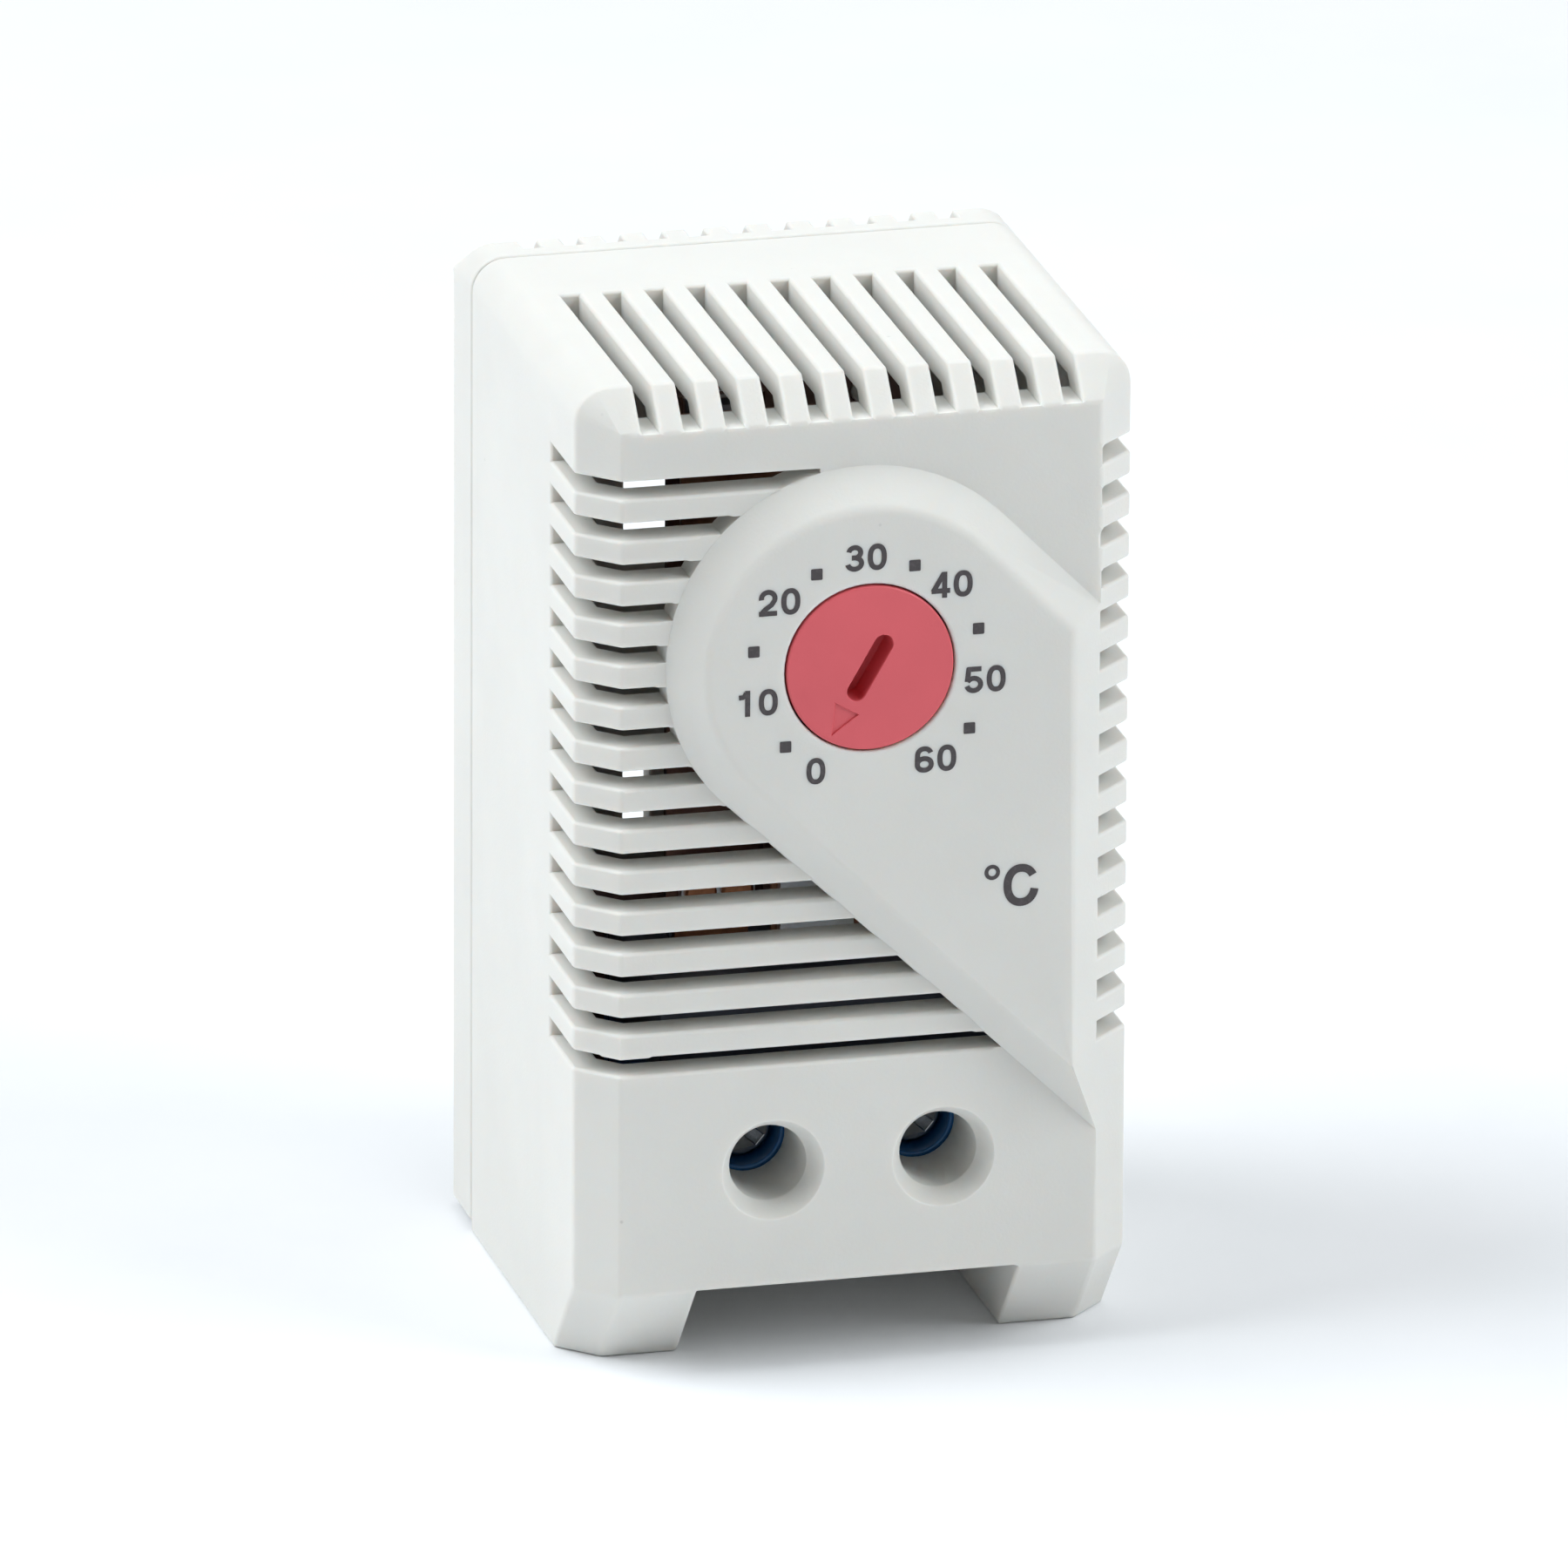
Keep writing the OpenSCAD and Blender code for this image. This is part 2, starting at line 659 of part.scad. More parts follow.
// A pair of rivets that holds what lies between depths d0 and d1
module rivets(x, w, d0, d1) for (side = [-1, 1]) let(face = rivet_head_r - rivet_edge,
    tip = rivet_head_t - rivet_edge, length = d1 - d0)
    turned(x + side * w * rivet_step_share, pivot_z, d0, [[0, -rivet_head_t], [face, -rivet_head_t],
        [rivet_head_r, -tip], [rivet_head_r, 0], [rivet_r, 0], [rivet_r, length], [rivet_head_r, length],
        [rivet_head_r, length + tip], [face, length + rivet_head_t], [0, length + rivet_head_t]]);

module clamp_plate(x, w, d) difference() {
    block(x - w / 2, x + w / 2, d, d + clamp_t, strip_foot_z, grip_top_z);
    rivet_holes(x, w, d - over, clamp_t + 2 * over, rivet_r);
}

module fixed_contact() color(silver) turned(pair_x, contact_z, fixed_d - contact_t, let(r = contact_dia / 2)
    [[0, 0], [r, 0], [r, contact_t - contact_edge], [r - contact_edge, contact_t], [0, contact_t]]);

module moving_contact() color(silver) turned(pair_x, contact_z, moving_d, let(r = contact_dia / 2)
    [[0, 0], [r - contact_edge, 0], [r, contact_edge], [r, contact_t], [0, contact_t]]);

module magnet() color(ferrite)
    block(pair_x - magnet_w / 2, pair_x + magnet_w / 2, spring_d + spring_t,
        spring_d + spring_t + magnet_t, magnet_z, magnet_z + magnet_h);

module armature() color(steel)
    block(pair_x - magnet_w / 2, pair_x + magnet_w / 2, bimetal_d - armature_t, bimetal_d,
        magnet_z, magnet_z + magnet_h);

module bimetal_strip() color(copper) difference() {
    block(pair_x - bimetal_w / 2, pair_x + bimetal_w / 2, bimetal_d, bimetal_d + bimetal_t,
        strip_foot_z, bimetal_top);
    rivet_holes(pair_x, bar_w, bimetal_d - over, bimetal_t + 2 * over, rivet_r + rivet_play);
}

module bimetal_clamp() color(steel) clamp_plate(pair_x, bar_w, bimetal_d - strip_play - clamp_t);
module spring_clamp() color(steel) clamp_plate(0, bar_w, spring_d - strip_play - clamp_t);
module bimetal_rivets() color(copper)
    rivets(pair_x, bar_w, bimetal_d - strip_play - clamp_t, bar_d + bar_t);
module spring_rivets() color(copper)
    rivets(0, bar_w, spring_d - strip_play - clamp_t, spring_seat_d + bar_t);

module terminal_bar_left() color(copper) difference() {
    block(pair_x - bar_w / 2, pair_x + bar_w / 2, bar_d, bar_d + bar_t, cage_z + bar_t, grip_top_z);
    rivet_holes(pair_x, bar_w, bar_d - over, bar_t + 2 * over, rivet_r);
}

// Bar with an arm that is folded forwards to carry the contact spring
module terminal_bar_right() color(copper) difference() {
    union() {
        block(-pair_x - bar_w / 2, -pair_x + bar_w / 2, bar_d, bar_d + bar_t, cage_z + bar_t, grip_top_z);
        block(-pair_x - bar_w / 2, -pair_x - bar_w / 2 + bar_t, spring_seat_d, bar_d + bar_t,
            strip_foot_z, grip_top_z);
        block(-bar_w / 2, -pair_x - bar_w / 2 + bar_t, spring_seat_d, spring_seat_d + bar_t,
            strip_foot_z, grip_top_z);
    }
    rivet_holes(0, bar_w, spring_seat_d - over, bar_t + 2 * over, rivet_r);
}

module contact_base() color(base_brown) difference() {
    union() {
        block(-base_half, base_half, base_d, base_d + base_t, block_floor_z, base_neck_z);
        block(-base_left, base_right, base_d, base_d + base_t, block_floor_z, base_top_z);
        block(-base_left, base_left, base_d - shelf_l, base_d + slab, block_top_z + seat_gap,
            block_top_z + seat_gap + shelf_t);
    }
    for (x = [-post_x_low, post_x_low])
        rod(x, post_z_low, base_d - over, base_t + 2 * over, peg_r + run_gap);
    for (x = post_x_high)
        rod(x, post_z_high, base_d - over, base_t + 2 * over, peg_r + run_gap);
}

module terminal_block() color(block_blue) difference() {
    block(-block_half, block_half, block_d, block_back_d, block_floor_z, block_top_z);
    both() {
        rod(terminal_x, terminal_z, block_d - over, head_wall_d - block_d + over, head_r + fit_gap);
        rod(terminal_x, terminal_z, block_d, cell_d - block_d + over, clamp_thread / 2 + screw_gap);
        block(terminal_x - cell_half, terminal_x + cell_half, cell_d, block_back_d + over, cell_floor_z,
            block_top_z - block_roof);
        block(terminal_x - bar_w / 2 - seat_gap, terminal_x + bar_w / 2 + seat_gap, bar_d - seat_gap,
            block_back_d + over, cell_floor_z, block_top_z + over);
        behind(wire_d) translate([terminal_x, 0, block_floor_z - over])
            cylinder(h = cell_floor_z - block_floor_z + 2 * over, r = wire_dia / 2);
        behind(wire_d) translate([terminal_x, 0, block_floor_z - slab])
            cylinder(h = funnel_h + slab, r1 = wire_dia / 2 + funnel_h, r2 = wire_dia / 2);
    }
}

// Back plate of the block, with a tab that closes each bar slot behind its bar
module terminal_block_cover() color(block_blue) {
    block(-block_half, block_half, block_back_d, block_back_d + block_cover_t, block_floor_z,
        block_top_z);
    both() block(terminal_x - bar_w / 2, terminal_x + bar_w / 2, bar_d + bar_t + seat_gap,
        block_back_d, block_top_z - block_roof, block_top_z);
}

module clamp_cage(x) color(steel) difference() {
    block(x - cage_half, x + cage_half, cage_d, cage_back_d + cage_wall, cage_z, cage_z + cage_h);
    block(x - cage_half + cage_wall, x + cage_half - cage_wall, cage_d + cage_front_t, cage_back_d,
        cage_z - over, cage_z + cage_h + over);
    rod(x, terminal_z, cage_d - over, cage_front_t + 2 * over, clamp_thread / 2 + run_gap);
}

module clamp_cage_left() clamp_cage(-terminal_x);
module clamp_cage_right() clamp_cage(terminal_x);

module clamp_screw(x) color(silver) difference() {
    union() {
        rod(x, terminal_z, head_d, head_t, head_r);
        rod(x, terminal_z, head_d, bar_d - run_gap - head_d, clamp_thread / 2);
    }
    block(x - clamp_thread / 2, x + clamp_thread / 2, head_d - over, head_d + head_t * recess_share,
        terminal_z - recess_half, terminal_z + recess_half);
    block(x - recess_half, x + recess_half, head_d - over, head_d + head_t * recess_share,
        terminal_z - clamp_thread / 3, terminal_z + clamp_thread / 3);
}

module clamp_screw_left() clamp_screw(-terminal_x);
module clamp_screw_right() clamp_screw(terminal_x);

module rail_clip() color(shell_grey) difference() {
    union() {
        block(-clip_half, clip_half, clip_floor_d, clip_floor_d + clip_flange_t, clip_foot_z, clip_top_z);
        block(-tongue_half, tongue_half, clip_floor_d, tongue_back_d, clip_foot_z, clip_top_z);
        block(-clip_half, clip_half, clip_floor_d, seat_d + handle_out, clip_foot_z,
            clip_foot_z + handle_h);
        block(-tongue_half, tongue_half, clip_floor_d, nose_d + slab, nose_top_z - nose_h, nose_top_z);
        block(-nose_half, nose_half, nose_d, hook_back_d, nose_top_z - nose_h, nose_top_z);
        block(-nose_half, nose_half, lip_d, hook_back_d, nose_top_z - slab, rail_foot_z + nose_lap);
    }
    behind(hook_back_d) translate([-nose_half - over, 0, rail_foot_z + nose_lap]) rotate([45, 0, 0])
        translate([0, -nose_lap, -nose_lap]) cube([2 * (nose_half + over), 2 * nose_lap, 2 * nose_lap]);
    block(-driver_slot_w / 2, driver_slot_w / 2, seat_d, seat_d + driver_slot_d, clip_foot_z - over,
        clip_foot_z + handle_h + over);
    block(-clip_window_half, clip_window_half, clip_floor_d - over, tongue_back_d + over,
        window_low_z, window_top_z);
}

// Centre line of the clip's compression spring, wound upwards
coil_pitch = (coil_len - coil_wire) / coil_turns;
coil_steps = coil_turns * coil_rings;
function coil_point(i, q) = let(a = 360 * i / coil_rings, r = coil_r + coil_wire / 2 * cos(q))
    [r * cos(a), front_y + coil_d + r * sin(a),
        coil_low_z + coil_wire / 2 + coil_pitch * i / coil_rings + coil_wire / 2 * sin(q)];
coil_gap = coil_pitch - coil_wire;
echo(least_gap_in_clip_spring = coil_gap);

module clip_spring() color(steel) polyhedron(
    [for (i = [0 : coil_steps]) for (k = [0 : coil_sides - 1]) coil_point(i, -360 * k / coil_sides)],
    tube_faces(coil_steps + 1, coil_sides));

front_housing();
rear_cover();
dial();
dial_washer();
dial_clip();
set_cam();
push_stud();
contact_spring();
fixed_contact();
magnet();
bimetal_strip();
moving_contact();
armature();
bimetal_clamp();
bimetal_rivets();
spring_clamp();
spring_rivets();
terminal_bar_left();
terminal_bar_right();
contact_base();
terminal_block();
terminal_block_cover();
clamp_cage_left();
clamp_cage_right();
clamp_screw_left();
clamp_screw_right();
rail_clip();
clip_spring();
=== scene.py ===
import json
import math

import bmesh
import bpy
from mathutils import Matrix, Vector
from mathutils.bvhtree import BVHTree
from mathutils.geometry import intersect_point_line


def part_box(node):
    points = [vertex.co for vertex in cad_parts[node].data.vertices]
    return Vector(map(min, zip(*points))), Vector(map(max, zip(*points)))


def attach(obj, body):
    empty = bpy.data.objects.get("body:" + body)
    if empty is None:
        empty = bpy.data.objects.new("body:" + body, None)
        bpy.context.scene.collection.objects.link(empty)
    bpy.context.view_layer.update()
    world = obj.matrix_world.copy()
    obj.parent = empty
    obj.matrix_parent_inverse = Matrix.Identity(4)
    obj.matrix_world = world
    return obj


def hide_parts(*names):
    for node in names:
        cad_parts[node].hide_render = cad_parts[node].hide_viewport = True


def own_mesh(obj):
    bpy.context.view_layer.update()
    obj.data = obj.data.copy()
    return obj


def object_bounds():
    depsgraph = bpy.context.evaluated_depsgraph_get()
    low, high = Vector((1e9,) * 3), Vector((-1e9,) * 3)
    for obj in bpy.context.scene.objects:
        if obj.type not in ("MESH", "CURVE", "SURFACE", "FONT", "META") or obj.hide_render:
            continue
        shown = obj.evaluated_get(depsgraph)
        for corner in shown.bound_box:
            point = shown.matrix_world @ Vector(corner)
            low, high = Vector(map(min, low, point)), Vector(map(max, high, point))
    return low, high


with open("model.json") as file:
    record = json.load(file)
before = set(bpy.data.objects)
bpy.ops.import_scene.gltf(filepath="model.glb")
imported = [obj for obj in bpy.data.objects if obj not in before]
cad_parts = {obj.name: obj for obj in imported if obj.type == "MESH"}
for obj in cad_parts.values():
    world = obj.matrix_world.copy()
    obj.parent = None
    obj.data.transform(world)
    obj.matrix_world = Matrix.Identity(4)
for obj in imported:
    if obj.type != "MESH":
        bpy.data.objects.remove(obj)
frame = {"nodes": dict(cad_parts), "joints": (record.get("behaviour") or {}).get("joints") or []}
cad_low, cad_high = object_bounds()

MM = 0.001
SIDES = ("left", "right")

# Places that come from the frame
joints = {joint["name"]: joint for joint in frame["joints"]}
plateau_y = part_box("front_housing")[0].y
dial_centre = Vector(joints["dial_turn"]["pos_m"])
dial_low, dial_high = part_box("dial")
dial_r = (dial_high.x - dial_low.x) / 2
screw_holes = [Vector(joints[f"screw_{side}_turn"]["pos_m"]) for side in SIDES]


def srgb(red, green, blue):
    """Linear colour of a picture colour given as 0 to 255."""
    def linear(value):
        share = value / 255
        return share / 12.92 if share <= 0.04045 else ((share + 0.055) / 1.055) ** 2.4
    return (linear(red), linear(green), linear(blue), 1)


# Materials

BLACK = (0, 0, 0, 1)
WHITE = (1, 1, 1, 1)

# Noises: scale, detail and roughness
FLOW = (90, 3, 0.6)
GLOSS = (300, 3, 0.6)
WAVES = (60, 2, 0.5)
RIPPLE = (1400, 2, 0.5)
GRAIN = (5200, 2, 0.55)
SPECK_AREAS = (160, 2, 0.5)
DRAWN_LINES = (2500, 3, 0.6)
TARNISH = (260, 4, 0.6)
INK_PATCHES = (2600, 3, 0.65)
INK_GLOSS = (900, 2, 0.5)
INK_GRAIN = (4000, 2, 0.5)
PAPER_CLOUDS = (40, 3, 0.6)
PAPER_GRAIN = (1200, 2, 0.5)

# Where a noise's colour starts to change and where it is done
SPREAD = (0.3, 0.7)
SPECK_RIM = (0.0, 0.06)
SPECK_AREA_RIM = (0.58, 0.64)
TARNISH_RIM = (0.42, 0.68)
INK_RIM = (0.28, 0.5)

# Bumps: strength and height
WAVES_BUMP = (0.25, 0.05 * MM)
TARNISH_BUMP = (0.2, 0.02 * MM)
LINES_BUMP = (0.5, 0.004 * MM)
INK_BUMP = (0.4, 0.006 * MM)
PAPER_BUMP = (0.2, 0.02 * MM)
RIPPLE_STRENGTH = 0.3
GRAIN_STRENGTH = 0.5

SPECK_SCALE = 420
SPECK_SHADE = 0.4
INK_WORN_SHADE = 1.7
INK_ROUGH = (0.45, 0.7)
GLOW_DEPTH = 0.8 * MM
GLOW_REACH = (1, 0.75, 0.6)


class Nodes:
    """Short calls for a material's node tree."""

    def __init__(self, name):
        self.material = bpy.data.materials.new(name)
        self.material.use_nodes = True
        self.tree = self.material.node_tree
        self.shader = self.tree.nodes["Principled BSDF"]
        self.place = self.add("ShaderNodeTexCoord").outputs["Object"]

    def add(self, kind, **values):
        node = self.tree.nodes.new(kind)
        for key, value in values.items():
            setattr(node, key, value)
        return node

    def link(self, source, target):
        self.tree.links.new(source, target)

    def stretched(self, stretch):
        """The object's coordinates, scaled on each axis."""
        mapping = self.add("ShaderNodeMapping")
        mapping.inputs["Scale"].default_value = stretch
        self.link(self.place, mapping.inputs["Vector"])
        return mapping.outputs["Vector"]

    def height(self):
        """The height above the frame's origin."""
        split = self.add("ShaderNodeSeparateXYZ")
        self.link(self.place, split.inputs["Vector"])
        return split.outputs["Z"]

    def noise(self, kind, place=None):
        """kind is (scale, detail, roughness)."""
        node = self.add("ShaderNodeTexNoise")
        for socket, value in zip(("Scale", "Detail", "Roughness"), kind):
            node.inputs[socket].default_value = value
        self.link(place or self.place, node.inputs["Vector"])
        return node.outputs["Fac"]

    def ramp(self, factor, places, colours):
        """The first colour up to the first place of factor, and the second from the second on."""
        node = self.add("ShaderNodeValToRGB")
        for element, place, colour in zip(node.color_ramp.elements, places, colours):
            element.position = place
            element.color = colour
        self.link(factor, node.inputs["Fac"])
        return node.outputs["Color"]

    def mapped(self, factor, source=(0, 1), target=(0, 1), **values):
        """A number that runs over target as factor runs over source."""
        node = self.add("ShaderNodeMapRange", **values)
        for socket, value in zip(("From Min", "From Max", "To Min", "To Max"), source + target):
            node.inputs[socket].default_value = value
        self.link(factor, node.inputs["Value"])
        return node.outputs["Result"]

    def mix(self, factor, first, second, blend="MIX"):
        """Each of factor, first and second is a value or a socket."""
        node = self.add("ShaderNodeMix", data_type="RGBA", blend_type=blend)
        for socket, value in (("Factor", factor), ("A", first), ("B", second)):
            target = next(s for s in node.inputs if s.name == socket and s.enabled)
            if isinstance(value, bpy.types.NodeSocket):
                self.link(value, target)
            else:
                target.default_value = value
        return next(s for s in node.outputs if s.enabled)

    def bump(self, heights):
        """heights is a list of (height, strength, distance), the coarsest first."""
        normal = None
        for height, strength, distance in heights:
            node = self.add("ShaderNodeBump")
            node.inputs["Strength"].default_value = strength
            node.inputs["Distance"].default_value = distance
            self.link(height, node.inputs["Height"])
            if normal:
                self.link(normal, node.inputs["Normal"])
            normal = node.outputs["Normal"]
        self.link(normal, self.shader.inputs["Normal"])

    def set(self, **values):
        """Values of the shader's inputs, with _ for each space in a name."""
        for key, value in values.items():
            self.shader.inputs[key.replace("_", " ")].default_value = value


def shade(colour, factor):
    return (colour[0] * factor, colour[1] * factor, colour[2] * factor, 1)


def plastic(name, colour, rough, grain, uneven, specks=0.0, speck_colour=None, level=0.5,
            glow=0.0, painted_shade=None):
    """Moulded plastic: fine spark grain, faint flow marks, uneven gloss and a few specks.

    grain is its height in millimetres, and the last argument is ((height where it starts, height
    where it is full), colour) of a painted shade that darkens the part towards its top.
    """
    n = Nodes(name)
    flow = n.noise(FLOW)
    base = n.ramp(flow, SPREAD, (shade(colour, 1 - uneven), shade(colour, 1 + uneven / 2)))
    if specks:
        dots = n.add("ShaderNodeTexVoronoi", feature="F1")
        dots.inputs["Scale"].default_value = SPECK_SCALE
        n.link(n.place, dots.inputs["Vector"])
        rare = n.ramp(dots.outputs["Distance"], SPECK_RIM, (WHITE, BLACK))
        where = n.ramp(n.noise(SPECK_AREAS), SPECK_AREA_RIM, (BLACK, WHITE))
        both = n.mix(1.0, rare, where, "MULTIPLY")
        base = n.mix(both, base, n.mix(specks, base, speck_colour or shade(colour, SPECK_SHADE)))
    # Painted shade: the colour darkens from the first height up to the second, and stays dark
    # above it
    if painted_shade:
        heights, painted_shade_colour = painted_shade
        base = n.mix(n.mapped(n.height(), heights), base, painted_shade_colour)
    n.link(base, n.shader.inputs["Base Color"])
    fine = n.noise(GRAIN)
    n.link(n.mapped(n.noise(GLOSS), target=rough), n.shader.inputs["Roughness"])
    n.bump([(n.noise(WAVES), *WAVES_BUMP), (n.noise(RIPPLE), RIPPLE_STRENGTH, grain / 2 * MM),
            (fine, GRAIN_STRENGTH, grain * MM)])
    n.set(Specular_IOR_Level=level, Subsurface_Weight=glow, Subsurface_Scale=GLOW_DEPTH,
          Subsurface_Radius=GLOW_REACH)
    return n.material


def metal(name, colour, rough, brushed=(1, 1, 1), tint=None, uneven=0.08):
    """Rolled or plated metal: drawn lines, cloudy tarnish and uneven gloss."""
    n = Nodes(name)
    lines = n.noise(DRAWN_LINES, n.stretched(brushed))
    cloud = n.noise(TARNISH)
    base = n.ramp(lines, SPREAD, (shade(colour, 1 - uneven), shade(colour, 1 + uneven)))
    if tint:
        base = n.mix(n.ramp(cloud, TARNISH_RIM, (BLACK, WHITE)), base, tint)
    n.link(base, n.shader.inputs["Base Color"])
    n.link(n.mapped(cloud, target=rough), n.shader.inputs["Roughness"])
    n.bump([(cloud, *TARNISH_BUMP), (lines, *LINES_BUMP)])
    n.set(Metallic=1.0)
    return n.material


def ink(name, colour):
    """Pad-printed ink, slightly patchy."""
    n = Nodes(name)
    patch = n.ramp(n.noise(INK_PATCHES), INK_RIM, (shade(colour, INK_WORN_SHADE), colour))
    n.link(patch, n.shader.inputs["Base Color"])
    n.link(n.mapped(n.noise(INK_GLOSS), target=INK_ROUGH), n.shader.inputs["Roughness"])
    n.bump([(n.noise(INK_GRAIN), *INK_BUMP)])
    return n.material


SHELL_LOOK = {"colour": srgb(220, 219, 214), "rough": (0.5, 0.62), "grain": 0.022, "uneven": 0.03,
              "specks": 0.35, "speck_colour": srgb(120, 112, 108), "level": 0.4, "glow": 0.6}
DRAWN_UP = (1, 1, 6)
DRAWN_ACROSS = (8, 1, 1)
# Painted shade on the blue terminal block: darker above its screw wells, where the housing shades
# it
BLOCK_TOP_PAINTED_SHADE = ((screw_holes[0].z + 2.8 * MM, screw_holes[0].z + 4.2 * MM), srgb(74, 80, 92))

shell_plastic = plastic("shell_plastic", **SHELL_LOOK)
cover_plastic = plastic("cover_plastic", **SHELL_LOOK)
clip_plastic = plastic("clip_plastic", srgb(206, 210, 209), rough=(0.38, 0.5), grain=0.014,
                       uneven=0.04, specks=0.2)
red_plastic = plastic("red_plastic", srgb(215, 88, 96), rough=(0.36, 0.5), grain=0.014,
                      uneven=0.07, specks=0.5, speck_colour=srgb(226, 150, 152))
blue_plastic = plastic("blue_plastic", srgb(38, 104, 164), rough=(0.25, 0.38), grain=0.01,
                       uneven=0.06, painted_shade=BLOCK_TOP_PAINTED_SHADE)
brown_plastic = plastic("brown_plastic", srgb(112, 86, 78), rough=(0.4, 0.6), grain=0.02,
                        uneven=0.12, specks=0.5, speck_colour=srgb(140, 110, 90))
ceramic = plastic("ceramic", srgb(226, 222, 212), rough=(0.3, 0.42), grain=0.008, uneven=0.03)
ferrite = plastic("ferrite", srgb(52, 52, 56), rough=(0.5, 0.7), grain=0.02, uneven=0.15)
zinc = metal("zinc", srgb(196, 200, 206), (0.22, 0.36), DRAWN_UP, srgb(176, 178, 172))
bright_steel = metal("bright_steel", srgb(136, 140, 144), (0.12, 0.24))
spring_steel = metal("spring_steel", srgb(186, 190, 196), (0.18, 0.3))
copper = metal("copper", srgb(178, 122, 88), (0.28, 0.45), DRAWN_ACROSS, srgb(120, 78, 60))
bronze = metal("bronze", srgb(132, 96, 74), (0.3, 0.46), DRAWN_ACROSS, srgb(92, 64, 54))
brass = metal("brass", srgb(206, 178, 112), (0.24, 0.38), tint=srgb(168, 136, 78))
bimetal = metal("bimetal", srgb(104, 78, 68), (0.34, 0.5), DRAWN_ACROSS, srgb(74, 52, 48),
                uneven=0.12)
silver = metal("silver", srgb(222, 220, 214), (0.2, 0.34), tint=srgb(190, 184, 170))
print_ink = ink("print_ink", srgb(58, 53, 55))


# Meshes

# Angles in degrees: an edge of the object turns by more than the first, the dial plate's rim by
# less than the second, and faces that turn by less than the third are one flat face
SHARP_ANGLE = 24
RIM_ANGLE = 60
FLAT_ANGLE = 0.6

# Normals: faces nearer than the first share one, those nearer to an axis than the second lie on
# it, and those nearer than the third are the same
BLEND_ANGLE = 44
SQUARE_ANGLE = 1
SAME_ANGLE = 0.5

# Material indices that mark flat and round faces while a mesh is made
FLAT = 1
ROUND = 0

# Lengths: vertices nearer than the first are one, a flat face may be bent by the second, and a
# rounded surface may stand out by the third
MERGE = 0.004 * MM
BENT = 0.02 * MM
PROUD = 0.003 * MM

# Rounding of an edge: its steps, its profile, and as shares of its radius how far it may sink in
# and how far from a bad place it ends, which grows with each try
ROUND_SEGMENTS = 3
ROUND_PROFILE = 0.5
ROUND_SINK = 0.6
ROUND_STOP = 1.2
ROUND_STOP_STEP = 0.4
ROUND_TRIES = 10

# A face is turned over if its normal's product with the surface's is less
TURNED_OVER = 0.5

# Where the chosen edges lie, from the middle of a screw hole or as a share of the dial's radius
HOLE_REACH = 3.4 * MM
DIAL_RIM_SHARE = 0.95
DIAL_FACE_SHARE = 0.92


def finish_shading(mesh, smooth_angle=SHARP_ANGLE):
    """Smooth where faces meet at less than smooth_angle."""
    mesh.shade_smooth()
    mesh.set_sharp_from_angle(angle=math.radians(smooth_angle))


def add_object(name, bm, material, smooth_angle=SHARP_ANGLE):
    """A new object from a bmesh."""
    mesh = bpy.data.meshes.new(name)
    bm.to_mesh(mesh)
    bm.free()
    mesh.materials.append(material)
    finish_shading(mesh, smooth_angle)
    made = bpy.data.objects.new(name, mesh)
    bpy.context.scene.collection.objects.link(made)
    return made


def join_rings(bm, rings, closed=False):
    """Faces between neighbouring rings, and over both ends or from the last to the first."""
    for first, second in zip(rings, rings[1:] + rings[:1] if closed else rings[1:]):
        for i in range(len(first)):
            j = (i + 1) % len(first)
            bm.faces.new((first[i], first[j], second[j], second[i]))
    if not closed:
        bm.faces.new(rings[0][::-1])
        bm.faces.new(rings[-1])
    bmesh.ops.recalc_face_normals(bm, faces=bm.faces)


def squared(normal):
    """The normal, or the axis that it nearly lies on."""
    biggest = max(range(3), key=lambda k: abs(normal[k]))
    if abs(normal[biggest]) < math.cos(math.radians(SQUARE_ANGLE)):
        return normal.copy()
    axis = Vector((0, 0, 0))
    axis[biggest] = math.copysign(1, normal[biggest])
    return axis


def settled_normals(bm):
    """One normal for each face corner.

    Flat faces stay flat, and rounding turns smoothly from one to the next.
    """
    normals = []
    blend = math.cos(math.radians(BLEND_ANGLE))
    for face in bm.faces:
        for loop in face.loops:
            if face.material_index == FLAT:
                normals.append(squared(face.normal))
                continue
            near = [other for other in loop.vert.link_faces
                    if other.normal.dot(face.normal) > blend]
            flats = [other for other in near if other.material_index == FLAT]
            if flats:
                normals.append(squared(max(flats, key=lambda other: other.calc_area()).normal))
            else:
                total = sum((other.normal * other.calc_area() for other in near), Vector())
                normals.append(total.normalized())
    return normals


def parted_edges(bm, normals):
    """Indices of the edges whose two faces have different corner normals."""
    bm.verts.index_update()
    bm.edges.index_update()
    bm.faces.index_update()
    corners = [(face.index, loop.vert.index) for face in bm.faces for loop in face.loops]
    normal_at = dict(zip(corners, normals))
    same = math.cos(math.radians(SAME_ANGLE))
    parted = []
    for edge in bm.edges:
        if len(edge.link_faces) == 2:
            first, second = (face.index for face in edge.link_faces)
            ends = [vert.index for vert in edge.verts]
            if any(normal_at[first, end].dot(normal_at[second, end]) < same for end in ends):
                parted.append(edge.index)
    return parted


def dissolve_flat(bm):
    """Makes whole flat faces of triangles."""
    bmesh.ops.dissolve_limit(bm, angle_limit=math.radians(FLAT_ANGLE), verts=bm.verts,
                             edges=bm.edges)


